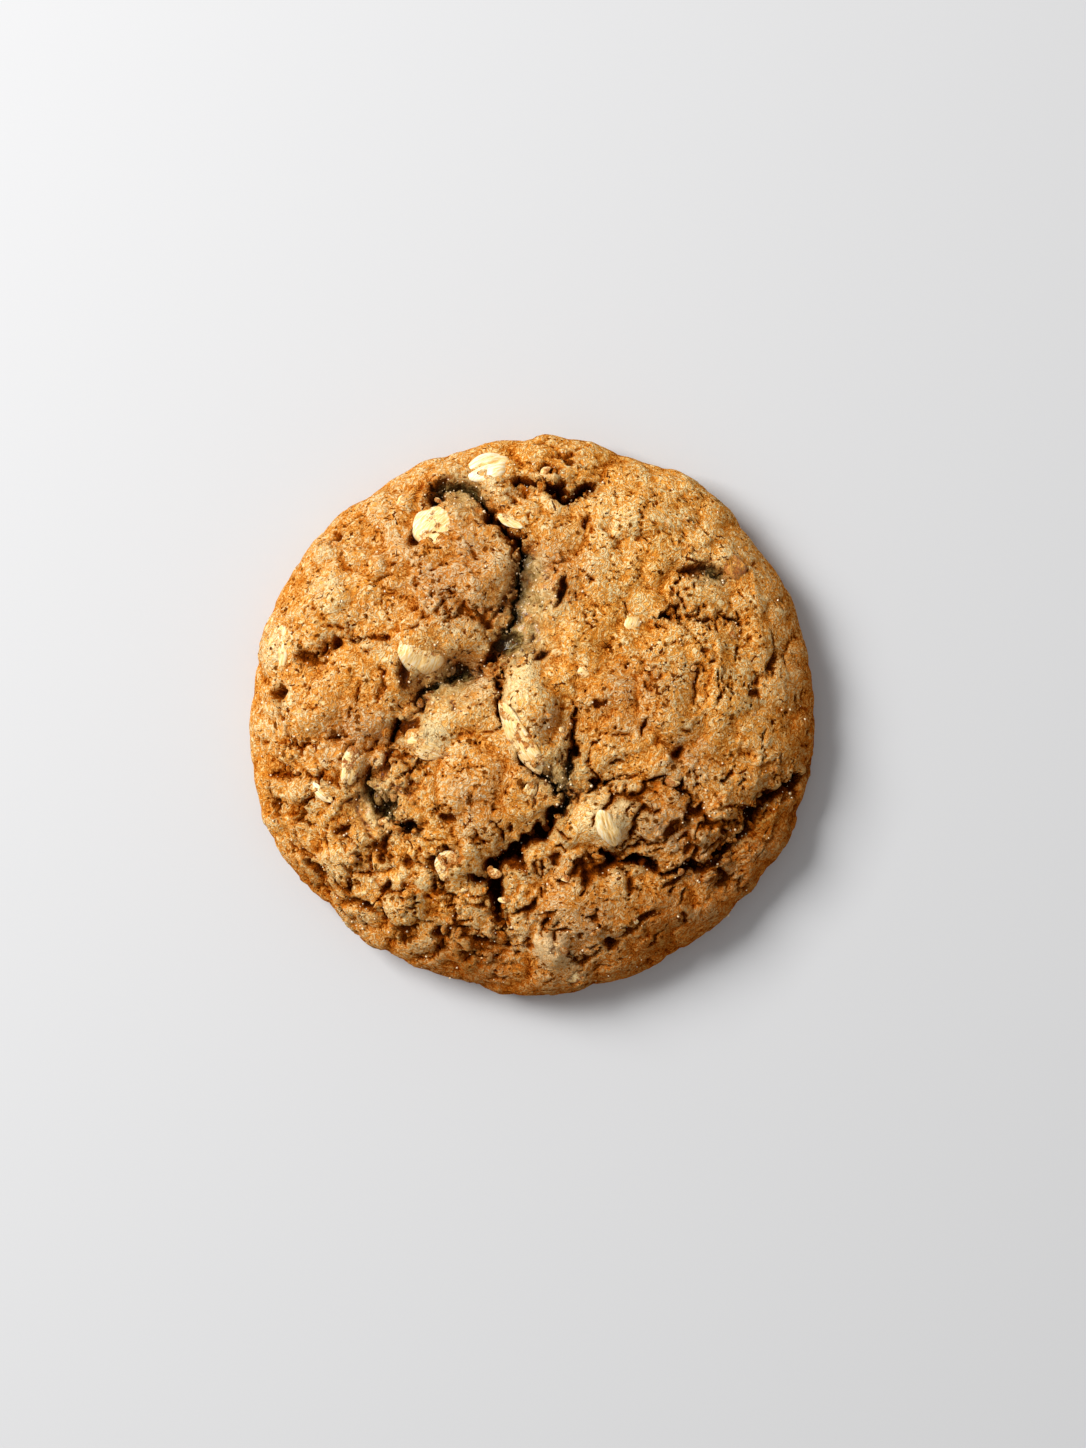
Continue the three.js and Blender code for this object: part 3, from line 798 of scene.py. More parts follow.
def broken(points, size, warp):
    """Broken crust: 1 in the seams between the bits, and uneven levels of the bits."""
    edge, level = chunks(warped(points, warp), size)
    seam = 1 - smoothstep(SEAM_FLOOR, SEAM_WIDTH, edge)
    return seam, level * smoothstep(0, SEAM_WIDTH, edge)


def creases(points, size, width):
    """Narrow winding folds, 1 in the middle of a fold."""
    return 1 - smoothstep(0, width, np.abs(perlin(points, size)))


def tears(points, bent, crumbly):
    """Torn gaps of uneven width with steep ragged sides, as a depth in mm."""
    depth = np.zeros(len(points))
    browned = smoothstep(*TEAR_BAND, points[:, 1] - TEAR_SLANT * points[:, 0])
    common = between((TEAR_LEAST, 1), np.maximum(crumbly, browned))
    for size, widest, deepest in TEARS:
        share_at, gap_at, rough_at = (place * size for place in TEAR_PLACES)
        share = patches(points, share_at, size, *TEAR_PATCHES) * common
        away = np.abs(perlin(bent + gap_at, size)) - widest * share
        torn = (1 - smoothstep(-TEAR_STEEP, TEAR_STEEP, away)) * (share > TEAR_CLOSED)
        rough = TEAR_DEPTHS[0] + TEAR_DEPTHS[1] * perlin(points + rough_at, TEAR_GRAIN)
        depth = np.maximum(depth, deepest * torn * rough)
    return depth


def terraces(height, step):
    level = np.floor(height / step)
    return step * (level + smoothstep(*LEDGE_EDGES, height / step - level))


def spot(x, y, places):
    """The strongest of soft round spots: x, y, radius."""
    value = np.zeros_like(x)
    for spot_x, spot_y, radius in places:
        value = np.maximum(value, np.exp(-((x - spot_x) ** 2 + (y - spot_y) ** 2) / radius**2))
    return value


def averaged(mesh, values, rounds):
    edges = np.empty(len(mesh.edges) * 2, int)
    mesh.edges.foreach_get("vertices", edges)
    a, b = edges.reshape(-1, 2).T
    count = np.bincount(edges, minlength=len(values))
    for _ in range(rounds):
        total = np.bincount(a, values[b], len(values)) + np.bincount(b, values[a], len(values))
        values = 0.5 * values + 0.5 * total / count
    return values


def fine_relief(smooth, points, crumbly):
    """Plates, broken bits, ledges, hollows and grain as heights in mm, and the torn gaps' depth."""
    seam, step = broken(smooth + PLATE_PLACE, PLATE_SIZE, PLATE_WARP)
    relief = PLATE_STEP * step - PLATE_SEAM * patches(points, *SEAM_PATCHES) * seam
    seam, step = broken(smooth, BIT_SIZE, BIT_WARP)
    seam *= patches(points, *BIT_PATCHES)
    relief += crumbly * (BIT_STEP * step - BIT_SEAM * seam)
    bent = warped(smooth, BIT_WARP)
    ledges = terraces(LEDGE_SWING * fractal(bent + LEDGE_PLACE, LEDGE_SIZE), LEDGE_STEP)
    relief += (LEDGE_LEAST + LEDGE_CRUMBLY * crumbly) * ledges
    hollows = patches(bent, *HOLLOWS) * patches(points, *HOLLOW_PATCHES)
    relief -= HOLLOW_DEPTH * crumbly * hollows
    relief += sum(height * perlin(points, size) for size, height in GRAIN)
    return relief, np.maximum(tears(points, bent, crumbly), BIT_TEAR * crumbly**2 * seam)


def smooth_form():
    """The cookie before its relief: the mesh, its points, the ways out of it, and where each point is."""
    mesh, sphere = cube_sphere()
    angle = np.arctan2(sphere[:, 1], sphere[:, 0])
    direction = np.stack([np.cos(angle), np.sin(angle)], axis=1)
    rim = outline(angle)
    top = sphere[:, 2] >= EQUATOR
    lift = np.clip((sphere[:, 2] - EQUATOR) / (1 - EQUATOR), 0, 1)
    reach = rim * np.sqrt(1 - lift**RIM_CROWDING)
    turn = np.clip((EQUATOR - sphere[:, 2]) / SIDE_BAND, 0, 1) * math.pi / 2
    drop = (SHOULDER + BASE_DIP) * np.sin(turn)
    base_ring = math.sqrt(1 - (EQUATOR - SIDE_BAND) ** 2)
    inward = np.minimum(1, np.sqrt(1 - sphere[:, 2] ** 2) / base_ring)
    side_reach = (rim - BASE_INSET * (1 - np.cos(turn))) * inward
    dome = (1 - np.minimum(reach / rim, 1) ** DOME_FULLNESS) ** DOME_ROUNDING
    points_reach = np.where(top, reach, side_reach)
    points_z = np.where(top, SHOULDER + (HEIGHT - SHOULDER) * dome, SHOULDER - drop)
    points = np.column_stack([direction * points_reach[:, None], points_z])
    set_points(mesh, points)
    flat = np.where(top, reach, rim + drop)
    return SimpleNamespace(
        mesh=mesh,
        points=points,
        out=normals_of(mesh),
        flat=direction * flat[:, None],
        direction=direction,
        top=top,
        on_base=~top & (turn >= math.pi / 2),
        rimward=reach / rim,
        inward=inward,
        dome=dome,
    )


def warmth(value):
    return np.clip(GLOW * value, 0, GLOW_MOST)


def crust_values(form, points, dark, calm, moist):
    """What the crust's material reads at each point."""
    x, y = form.flat.T
    # A warm glow is painted around the gaps, standing in for light bounced in them.
    glow = warmth(averaged(form.mesh, dark, GLOW_ROUNDS))
    depth = np.einsum("ij,ij->i", points - form.points, form.out)
    # Hollows are painted darker and redder, as shade and as the redder crumb in them, and bumps a little
    # lighter.
    cavity_shade = depth - averaged(form.mesh, depth, CAVITY_ROUNDS)
    # Broad hollows are painted darker as shade, and broad rises lighter.
    broad_shade = depth - averaged(form.mesh, depth, BROAD_ROUNDS)
    # The rim away from the key light is browner: partly real browning, partly painted shade.
    browned = smoothstep(*BROWN_AND_SHADE_SPAN, form.direction @ heading(BROWN_AND_SHADE_SIDE))
    # The side facing the key light is painted a little darker, as shade that softens its light.
    lit_side_shade = np.clip(form.direction @ heading(SHADE_PAINTED_SIDE), 0, 1) * form.rimward**2
    # The middle of the base is evenly brown.
    browned = np.where(form.top, browned, between((BASE_BROWN, browned), form.inward**2))
    lit_side_shade *= np.where(form.top, 1, form.inward**2)
    # Toast, with painted shade on the side facing the key light and on the rim away from it.
    toast_and_shade = spot(x, y, TOASTED_AND_SHADED) * TOAST_SHARE + SHADE_PAINTED_SIDE_SHARE * lit_side_shade + browned * form.rimward**TOAST_RIM
    # Amber: real amber spots, with a warm glow painted around gaps and in hollows, and the painted shade of
    # the rim away from the key light.
    amber_and_warm_shade = [spot(x, y, AMBER) * form.top, glow, warmth(-cavity_shade), browned * form.rimward**AMBER_RIM]
    return {
        "gap": np.clip(averaged(form.mesh, dark, GAP_ROUNDS) / GAP_FULL, 0, 1),
        "cavity_shade": np.clip(0.5 + np.where(cavity_shade < 0, CAVITY_LOW, CAVITY_HIGH) * cavity_shade, 0, 1),
        "broad_shade": np.clip(0.5 + BROAD_SHARE * broad_shade, 0, 1),
        "toast_and_shade": np.clip(toast_and_shade, 0, 1),
        "amber_and_warm_shade": np.maximum.reduce(amber_and_warm_shade),
        "torn": glow - TORN_CALM * (1 - calm),
        "pale": spot(x, y, PALE) * form.top,
        "moist": moist,
        "caramel": spot(x, y, CARAMEL) * form.top,
    }


def make_crust():
    """The crust, and what the pieces that lie on it need to know."""
    form = smooth_form()
    top = form.top
    x, y = form.flat.T

    # Plates, cobbles and swells
    nearest, gap, dark, apron = crack_fields(x, y, warped(form.points, CRACK_WARP))
    gap *= top
    wander = drift(form.points, KNOB_WARP[0]) * KNOB_WARP[1]
    knobs = KNOB_SHARE * cobbles(x + wander[:, 0], y + wander[:, 1])
    plates = PLATE_RISE * (1 - bell(nearest, PLATE_SHOULDER))
    bulge = RIM_BULGE * knobs * np.where(top, form.rimward**RIM_START, form.inward)
    points = form.points.copy()
    points[:, 2] += (plates + knobs + swells(x, y)) * np.sqrt(form.dome) * top
    points[:, :2] += form.direction * bulge[:, None]
    set_points(form.mesh, points)
    normals = normals_of(form.mesh)
    bare = points.copy()

    # Cracks, pits and the finer relief
    moist = np.clip(spot(x, y, MOIST) * (MOIST_EVEN + apron + MOIST_GAP * gap), 0, 1) * top
    crumbly = np.clip(spot(x, y, CRUMBLY) + CRACK_CRUMB * bell(nearest, CRACK_CRUMB_REACH), 0, 1)
    calm = 1 - CALM_SHARE * smoothstep(*CALM_RIM, form.rimward) * top - CALM_SHARE * ~top
    fine, torn = fine_relief(form.points, points, crumbly)
    fine *= calm * (1 - MOIST_CALM * moist)
    dark = np.maximum.reduce([dark, pits(form.points), torn * calm]) * top
    gap = np.maximum(gap, dark)
    folds = creases(form.points * np.array(SIDE_CREASE_STRETCH), SIDE_CREASE_SIZE, SIDE_CREASE_WIDTH)
    fine -= SIDE_CREASE * (1 - calm) * folds
    fine[form.on_base] *= BASE_RELIEF
    points += form.out * (fine + oat_beds(x, y) * top - gap)[:, None]
    points += LIP_SHIFT * (bell(nearest, LIP_REACH) * top)[:, None] * drift(points, LIP_GRAIN)
    points[:, 2] = np.where(form.on_base, np.abs(fine) * BASE_RISE, np.maximum(points[:, 2], 0))

    middle = (points.min(axis=0) + points.max(axis=0)) / 2
    points[:, :2] -= middle[:2]
    bare[:, :2] -= middle[:2]
    set_points(form.mesh, points * MM)
    values = crust_values(form, points, dark, calm, moist)
    ground = {
        "points": points,
        "bare": bare,
        "normals": normals,
        "flat": form.flat,
        "top": top,
        "crumbly": crumbly,
        "gap_mm": gap,
        "area": vertex_area(form.mesh),
    }
    return finished("crust", form.mesh, values), ground | values


def placed(name, data):
    piece = bpy.data.objects.new(name, data)
    bpy.context.collection.objects.link(piece)
    return piece


def finished(name, mesh, values):
    for label, value in values.items():
        mesh.attributes.new(label, "FLOAT", "POINT").data.foreach_set("value", value.astype(np.float32))
    mesh.polygons.foreach_set("use_smooth", np.ones(len(mesh.polygons), bool))
    return placed(name, mesh)


def joined(name, places, faces, values):
    """One mesh of many like shapes: places has a row of points for each shape."""
    count, each = places.shape[:2]
    faces = (np.array(faces)[None] + each * np.arange(count)[:, None, None]).reshape(-1, len(faces[0]))
    mesh = bpy.data.meshes.new(name)
    mesh.from_pydata(places.reshape(-1, 3) * MM, [], faces.tolist())
    spread = {}
    for label, value in values.items():
        spread[label] = value.ravel() if value.ndim == 2 else np.repeat(value, each)
    return finished(name, mesh, spread)


def scatter(rng, ground, weight, count, tilt):
    """Points of the crust drawn by weight, and three directions at each: along, across and out."""
    at = rng.choice(len(weight), count, replace=False, p=weight / weight.sum())
    normals = ground["normals"][at]
    out = unit(normals + tilt * rng.normal(size=normals.shape))
    along = unit(np.cross(out, rng.normal(size=normals.shape)))
    return at, np.stack([along, np.cross(out, along), out], axis=1)


def laid(ground, at, turn, size, shapes):
    """Shapes turned and set in the crust at the drawn points."""
    middle = ground["points"][at] + turn[:, 2] * BEDDING * size[:, None]
    return middle[:, None] + shapes @ turn


def ball():
    """A small faceted ball: its points on the unit sphere and its triangles."""
    bm = bmesh.new()
    bmesh.ops.create_icosphere(bm, subdivisions=2, radius=1)
    points = np.array([v.co for v in bm.verts])
    faces = [[v.index for v in f.verts] for f in bm.faces]
    bm.free()
    return points, faces


def make_crumbs(ground):
    """Crumbs of crust, most of them by the cracks and in the coarse parts."""
    rng = np.random.default_rng(CRUMB_SEED)
    crumbly = ground["crumbly"]
    lips = bell(ground["gap_mm"] - CRUMB_LIP, CRUMB_LIP)
    share = crumbly**3 + CRUMB_BY_LIPS * lips * crumbly + CRUMB_ELSEWHERE
    weight = ground["area"] * ground["top"] * share
    weight *= np.linalg.norm(ground["flat"], axis=1) < CRUMB_REACH
    at, turn = scatter(rng, ground, weight, CRUMB_COUNT, CRUMB_TILT)
    ball_points, faces = ball()
    size = between(CRUMB_SIZE, rng.random(CRUMB_COUNT) ** 3)
    cuts = unit(rng.normal(size=(CRUMB_COUNT, CRUMB_CUTS, 3)))
    facing = np.maximum(np.einsum("ckd,pd->ckp", cuts, ball_points), CRUMB_CUT_SLANT)
    cut_at = rng.uniform(*CRUMB_CUT_AT, (CRUMB_COUNT, CRUMB_CUTS, 1))
    reach = np.minimum((cut_at / facing).min(axis=1), CRUMB_CORNER)
    width = size * rng.uniform(*CRUMB_WIDTH, CRUMB_COUNT)
    height = size * rng.uniform(*CRUMB_HEIGHT, CRUMB_COUNT)
    sides = np.stack([size, width, height], axis=1)
    shapes = ball_points[None] * reach[:, :, None] * sides[:, None] / 2
    values = {name: ground[name][at] for name in ("broad_shade", "toast_and_shade", "amber_and_warm_shade", "pale", "moist", "torn")}
    values["gap"] = CRUMB_GAP * ground["gap"][at]
    values["cavity_shade"] = rng.uniform(*CRUMB_CAVITY, CRUMB_COUNT)
    return joined("crumbs", laid(ground, at, turn, size, shapes), faces, values)


def make_sugar(ground):
    """Tiny bright grains."""
    rng = np.random.default_rng(SUGAR_SEED)
    share = SUGAR_ELSEWHERE + SUGAR_ON_MOIST * ground["moist"] + SUGAR_ON_CRUMB * ground["crumbly"]
    weight = ground["area"] * ground["top"] * share
    at, turn = scatter(rng, ground, weight, SUGAR_COUNT, SUGAR_TILT)
    corner = np.array([(x, y, z) for x in (-1, 1) for y in (-1, 1) for z in (-1, 1)])
    faces = [[0, 1, 3, 2], [4, 6, 7, 5], [0, 4, 5, 1], [2, 3, 7, 6], [0, 2, 6, 4], [1, 5, 7, 3]]
    size = between(SUGAR_SIZE, rng.random(SUGAR_COUNT) ** 2)
    shapes = corner[None] * size[:, None, None] / 2 * rng.uniform(*SUGAR_SIDES, (SUGAR_COUNT, 1, 3))
    return joined("sugar_grains", laid(ground, at, turn, size, shapes), faces, {})


def oat_shape(rng, length, width, grooved):
    """A rolled oat lying flat: a plump disc with grooves along it, and how deep in one each point is."""
    angle = np.linspace(0, 2 * math.pi, OAT_SIDES, endpoint=False)
    uneven = np.ones(OAT_SIDES)
    for waves in OAT_WAVES:
        swing = rng.uniform(-1, 1) * OAT_UNEVEN / waves
        uneven += swing * np.cos(waves * angle + rng.uniform(0, 2 * math.pi))
    share = np.sin(np.linspace(0, math.pi / 2, OAT_RINGS + 1))[1:, None]
    u = share * uneven * np.cos(angle)
    v = share * uneven * np.sin(angle)
    thick = OAT_PLUMP * width / 2 * np.sqrt(1 - share**OAT_EDGE) * np.ones_like(u)
    lean = rng.uniform(-OAT_LEAN, OAT_LEAN)
    crease = np.zeros_like(u)
    for limits, breadth, strength in OAT_GROOVES:
        groove = bell(v - lean * u - rng.uniform(*limits), breadth)
        crease += grooved * strength * groove * np.clip(OAT_GROOVE_END - u**2, 0, 1)
    bow = rng.uniform(0, OAT_BOW) * width * (OAT_BOW_LEVEL - u**2)
    upper = bow + thick - OAT_CREASE * crease * width / OAT_USUAL_WIDTH
    rings = []
    for height in (upper, bow - OAT_UNDERSIDE * thick):
        rings.append(np.stack([u * length / 2, v * width / 2, height], axis=2))
    middle = [np.array([[0, 0, ring[0, :, 2].mean()]]) for ring in rings]
    points = np.vstack([middle[0], rings[0].reshape(-1, 3), rings[1][:-1].reshape(-1, 3), middle[1]])
    points += OAT_WARP[1] * drift(points + OAT_APART * rng.random(), OAT_WARP[0])
    fold = np.concatenate([[crease[0].mean()], crease.ravel(), np.zeros(crease[:-1].size + 1)])
    return points, np.clip(fold, 0, 1)


def oat_faces():
    n = OAT_SIDES
    k = np.arange(n)
    after = (k + 1) % n
    last = 1 + (2 * OAT_RINGS - 1) * n
    faces = [(0, 1 + a, 1 + b) for a, b in zip(k, after)]
    starts = [1 + ring * n for ring in range(OAT_RINGS)]
    lower = [1 + (OAT_RINGS + ring) * n for ring in range(OAT_RINGS - 1)]
    path = starts + lower[::-1]
    for near, far in zip(path, path[1:]):
        faces += [(near + a, far + a, far + b) for a, b in zip(k, after)]
        faces += [(near + a, far + b, near + b) for a, b in zip(k, after)]
    faces += [(last, path[-1] + b, path[-1] + a) for a, b in zip(k, after)]
    return faces


def oat_bit(rng):
    """A row for a small bit of oat, like the rows of the oats."""
    reach = OAT_BIT_REACH * math.sqrt(rng.random())
    x, y = reach * heading(rng.uniform(0, 2 * math.pi))
    length = rng.uniform(*OAT_BIT_LENGTH)
    width = length * rng.uniform(*OAT_BIT_WIDTH)
    turn, side = rng.uniform(0, 360, 2)
    return x, y, length, width, turn, 0, OAT_BIT_COAT, side


def make_oats(ground):
    """Rolled oats that show, and small bits of oat spread over the top."""
    rng = np.random.default_rng(OAT_SEED)
    places = []
    rows = []
    for x, y, length, width, turn, tilt, coat, side in OATS + [oat_bit(rng) for _ in range(OAT_BITS)]:
        away = np.hypot(ground["flat"][:, 0] - x, ground["flat"][:, 1] - y) + FAR * ~ground["top"]
        under = away < max(OAT_REST, OAT_REST_SHARE * width)
        out = Vector(ground["normals"][under].mean(axis=0)).normalized()
        middle = ground["bare"][under].mean(axis=0)
        points, fold = oat_shape(rng, length, width, BARE_GROOVES if coat < 0 else COATED_GROOVES)
        spin = Matrix.Rotation(math.radians(turn), 3, "Z") @ Matrix.Rotation(math.radians(tilt), 3, "X")
        stand = Vector((0, 0, 1)).rotation_difference(out).to_matrix() @ spin
        offset = points @ np.array(stand).T
        places.append(offset + middle - np.array(out) * OAT_SUNK * width)
        toward, _ = turned(offset[:, 0], offset[:, 1], side)
        row = {"fold": fold, "coat": coat + toward / length, "along": points[:, 0], "across": points[:, 1]}
        for name in ("toast_and_shade", "amber_and_warm_shade", "pale", "caramel"):
            row[name] = np.full(len(points), ground[name][np.argmin(away)])
        rows.append(row)
    values = {name: np.array([row[name] for row in rows]) for name in rows[0]}
    values["pale"] *= OAT_PALE
    for name, value in OAT_EVEN.items():
        values[name] = np.full(len(places), value)
    return joined("rolled_oats", np.array(places), oat_faces(), values)


class Shader:
    """Short calls for building a material's nodes."""

    def __init__(self, name):
        self.material = bpy.data.materials.new(name)
        self.material.use_nodes = True
        self.tree = self.material.node_tree

    @cached_property
    def mm(self):
        """Places on the object in mm."""
        place = self.add("ShaderNodeTexCoord").outputs["Object"]
        return self.add("ShaderNodeVectorMath", operation="SCALE", Vector=place, Scale=1 / MM).outputs[0]

    def feed(self, socket, value):
        if isinstance(value, bpy.types.NodeSocket):
            self.tree.links.new(value, socket)
        else:
            socket.default_value = value

    def fill(self, sockets, values):
        for socket, value in zip(sockets, values):
            self.feed(socket, value)

    def add(self, kind, **settings):
        node = self.tree.nodes.new(kind)
        for name, value in settings.items():
            if name in node.inputs:
                self.feed(node.inputs[name], value)
            else:
                setattr(node, name, value)
        return node

    def dressed(self, settings):
        """The material, with its surface set."""
        surface = self.tree.nodes["Principled BSDF"]
        for name, value in settings.items():
            self.feed(surface.inputs[name], value)
        return self.material

    def attribute(self, name):
        return self.add("ShaderNodeAttribute", attribute_name=name).outputs["Fac"]

    def noise(self, scale, detail=3.0, rough=0.6, at=None, distort=0.0):
        settings = {"Scale": scale, "Detail": detail, "Roughness": rough, "Distortion": distort}
        return self.add("ShaderNodeTexNoise", Vector=at or self.mm, **settings).outputs["Fac"]

    def cells(self, scale, at, channel):
        """Small cells: a random value for each, and the distance from its middle."""
        node = self.add("ShaderNodeTexVoronoi", Vector=at, Scale=scale)
        pick = self.add("ShaderNodeSeparateColor", Color=node.outputs["Color"]).outputs[channel]
        return pick, node.outputs["Distance"]

    def pores(self, scale, widest, fewer, at):
        """Distance from small ragged holes of mixed sizes, below 0 inside them; some cells have none."""
        pick, away = self.cells(scale, at, "Red")
        reach = self.math("ADD", self.span(pick, *PORE_SIZES, widest), fewer)
        ragged = self.span(self.noise(*PORE_RAGGED_NOISE), *NOISE_MIDDLE, -PORE_RAGGED, PORE_RAGGED)
        return self.math("SUBTRACT", self.math("ADD", away, ragged), reach)

    def fissures(self, at):
        """Thin jagged breaks between flakes, open only here and there."""
        edge = self.add("ShaderNodeTexVoronoi", Vector=at, Scale=FISSURE_SCALE, feature="DISTANCE_TO_EDGE")
        opening = self.span(self.noise(*FISSURE_NOISE), *FISSURE_SPAN)
        opening = self.math("MULTIPLY_ADD", self.attribute("torn"), FISSURE_TORN, opening)
        return self.fade(self.math("SUBTRACT", edge.outputs["Distance"], opening), *FISSURE_EDGES)

    def grains(self, scale, at):
        """Small broken grains: a value for each, around 0, and the distance from its middle."""
        pick, away = self.cells(scale, at, "Green")
        return self.math("SUBTRACT", pick, 0.5), away

    def bent(self, scale, swing):
        """Places in mm that wander, so that what is drawn there isn't straight."""
        wander = self.add("ShaderNodeTexNoise", Vector=self.mm, Scale=scale, Detail=2.0).outputs["Color"]
        node = self.add("ShaderNodeVectorMath", operation="MULTIPLY_ADD")
        self.fill(node.inputs, (wander, (swing, swing, swing), self.mm))
        return node.outputs[0]

    def mapped(self, at, **settings):
        return self.add("ShaderNodeMapping", Vector=at, **settings).outputs[0]

    def strokes(self):
        """Short wavy fibres whose direction changes from patch to patch."""
        curled = self.bent(*STROKE_BEND)
        value = None
        for turn in range(STROKE_TURNS):
            around = (0, 0, math.pi * turn / STROKE_TURNS)
            at = self.mapped(curled, Location=turn * STROKE_APART, Rotation=around)
            patch = self.span(self.noise(*STROKE_PATCHES, at=at), *STROKE_PATCH_EDGES)
            fibre = self.mapped(at, Scale=STROKE_SCALE)
            drawn = self.noise(*STROKE_NOISE, fibre, STROKE_DISTORTION)
            value = self.blend(patch, value, drawn) if value else drawn
        return value

    def blend(self, share, a, b):
        node = self.add("ShaderNodeMix", data_type="FLOAT")
        self.fill([s for s in node.inputs if s.type == "VALUE"], (share, a, b))
        return next(s for s in node.outputs if s.type == "VALUE")

    def math(self, operation, a, b=0.5, c=0.5):
        node = self.add("ShaderNodeMath", operation=operation)
        self.fill(node.inputs, (a, b, c))
        return node.outputs[0]

    def times(self, a, b):
        return self.math("MULTIPLY", a, b)

    def total(self, start, weights, layers):
        """The start and each layer times its weight, added up."""
        for name, weight in weights.items():
            start = self.math("MULTIPLY_ADD", layers[name], weight, start)
        return start

    def span(self, value, low, high, to_low=0.0, to_high=1.0):
        node = self.add("ShaderNodeMapRange", clamp=True, interpolation_type="SMOOTHSTEP")
        self.fill(node.inputs, (value, low, high, to_low, to_high))
        return node.outputs[0]

    def swing(self, value, low, high):
        return self.span(value, low, high, -0.5, 0.5)

    def fade(self, value, low, high):
        return self.span(value, low, high, 1.0, 0.0)

    def ramp(self, value, stops):
        node = self.add("ShaderNodeValToRGB", Fac=value)
        elements = node.color_ramp.elements
        while len(elements) < len(stops):
            elements.new(0.5)
        for element, (place, colour) in zip(elements, stops):
            element.position = place
            element.color = (*colour, 1)
        return node.outputs["Color"]

    def mix(self, share, a, b, blend="MIX"):
        node = self.add("ShaderNodeMix", data_type="RGBA", blend_type=blend)
        self.feed(node.inputs["Factor"], share)
        for name, value in (("A", a), ("B", b)):
            socket = next(s for s in node.inputs if s.name == name and s.type == "RGBA")
            self.feed(socket, value if isinstance(value, bpy.types.NodeSocket) else (*value, 1))
        return next(s for s in node.outputs if s.type == "RGBA")

    def bump(self, height):
        node = self.add("ShaderNodeBump", Height=height, Strength=1.0, Distance=BUMP_HEIGHT * MM)
        return node.outputs["Normal"]


def crust_grain(s):
    """Patterns of baked crust, which its colour and its height share."""
    drawn = s.strokes()
    bent = s.bent(*GRAIN_BEND)
    coarse, coarse_away = s.grains(COARSE_SCALE, bent)
    small, _ = s.grains(SMALL_SCALE, bent)
    blotches = s.noise(*BLOTCH_NOISE)
    painted = {name: s.attribute(name) for name in ("cavity_shade", "pale", "torn", "toast_and_shade")}
    crowded = s.total(s.span(s.noise(*PORE_CROWD_NOISE), *PORE_CROWD_SPAN), PORE_CROWD_WEIGHTS, painted)
    fewer = s.math("SUBTRACT", crowded, FINE_PORES_FEWER)
    drawn_out = s.mapped(bent, Rotation=FINE_PORE_TURN, Scale=FINE_PORE_SCALE)
    away = s.math("MINIMUM", s.pores(*WIDE_PORES, crowded, bent), s.pores(*FINE_PORES, fewer, drawn_out))
    pores = s.fade(away, *PORE_EDGES)
    fissures = s.fissures(bent)
    return painted | {
        "strokes": s.swing(drawn, *STROKE_EDGES),
        # Thin lines painted dark, as the shade of hairline cracks
        "hairline_shade": s.fade(s.math("ABSOLUTE", s.math("SUBTRACT", drawn, HAIR_LEVEL)), 0.0, HAIR_WIDTH),
        "mottle": s.swing(s.noise(*MOTTLE_NOISE, distort=MOTTLE_DISTORTION), *MOTTLE_EDGES),
        "coarse": coarse,
        "grain_edges": coarse_away,
        # Grains painted darker towards their edges, as the shade between them
        "grain_gap_shade": s.span(coarse_away, *GRAIN_GAP_EDGES),
        "small": small,
        "pale_grains": s.span(small, *PALE_GRAIN_EDGES),
        "dark_grains": s.fade(small, *DARK_GRAIN_EDGES),
        "broad_shade": s.swing(s.attribute("broad_shade"), 0.0, 1.0),
        "blotches": s.swing(blotches, *NOISE_MIDDLE),
        "toast_and_shade": s.times(painted["toast_and_shade"], s.span(blotches, *TOAST_SPAN)),
        "pores": pores,
        "painted_pore_glow": s.fade(away, *HALO_EDGES),
        "fissures": fissures,
        "openings": s.math("MAXIMUM", pores, fissures),
    }


def crust_colour(s, grain):
    """Colour of baked crust, with shade painted in its crevices, pores and hollows and a warm glow painted
    around them, and how moist it is.
    """
    colour = s.ramp(s.total(TONE_MIDDLE, TONE_WEIGHTS, grain), CRUST_TONES)
    colour = s.mix(grain["toast_and_shade"], colour, TOAST_TINT, "MULTIPLY")
    # Amber, with the warm glow painted around gaps, hollows and pores.
    colour = s.mix(s.math("MAXIMUM", s.attribute("amber_and_warm_shade"), grain["painted_pore_glow"]), colour, AMBER_TINT, "MULTIPLY")
    shade = s.math("ADD", grain["mottle"], 0.5)
    moist = s.times(s.attribute("moist"), s.span(s.noise(MOIST_SCALE), *MOIST_SPAN))
    dough = s.times(moist, DOUGH_SHARE)
    colour = s.mix(dough, colour, s.ramp(shade, DOUGH_TONES))
    caramel = s.attribute("caramel")
    colour = s.mix(s.span(caramel, *GLAZE_SPAN), colour, s.ramp(shade, GLAZE_TONES))
    # Cracks, pits, tears and fissures are painted dark with ragged edges, as their shade; in moist places
    # with the shaded copy of the dough.
    ragged = s.swing(s.noise(*CREVICE_NOISE), *NOISE_MIDDLE)
    crevice_shade = s.math("MULTIPLY_ADD", ragged, CREVICE_RAGGED, s.attribute("gap"))
    crevice_shade = s.math("MAXIMUM", crevice_shade, s.times(grain["fissures"], FISSURE_SHADE))
    deep = s.mix(dough, s.ramp(crevice_shade, CREVICE_SHADE_TONES), s.ramp(shade, SHADED_DOUGH_TONES))
    colour = s.mix(s.span(crevice_shade, *CREVICE_EDGES), colour, deep)
    # Pores painted dark, as their shade.
    colour = s.mix(s.times(grain["pores"], PORE_SHADE_SHARE), colour, PORE_SHADE_COLOUR)
    return colour, s.math("MAXIMUM", moist, caramel)


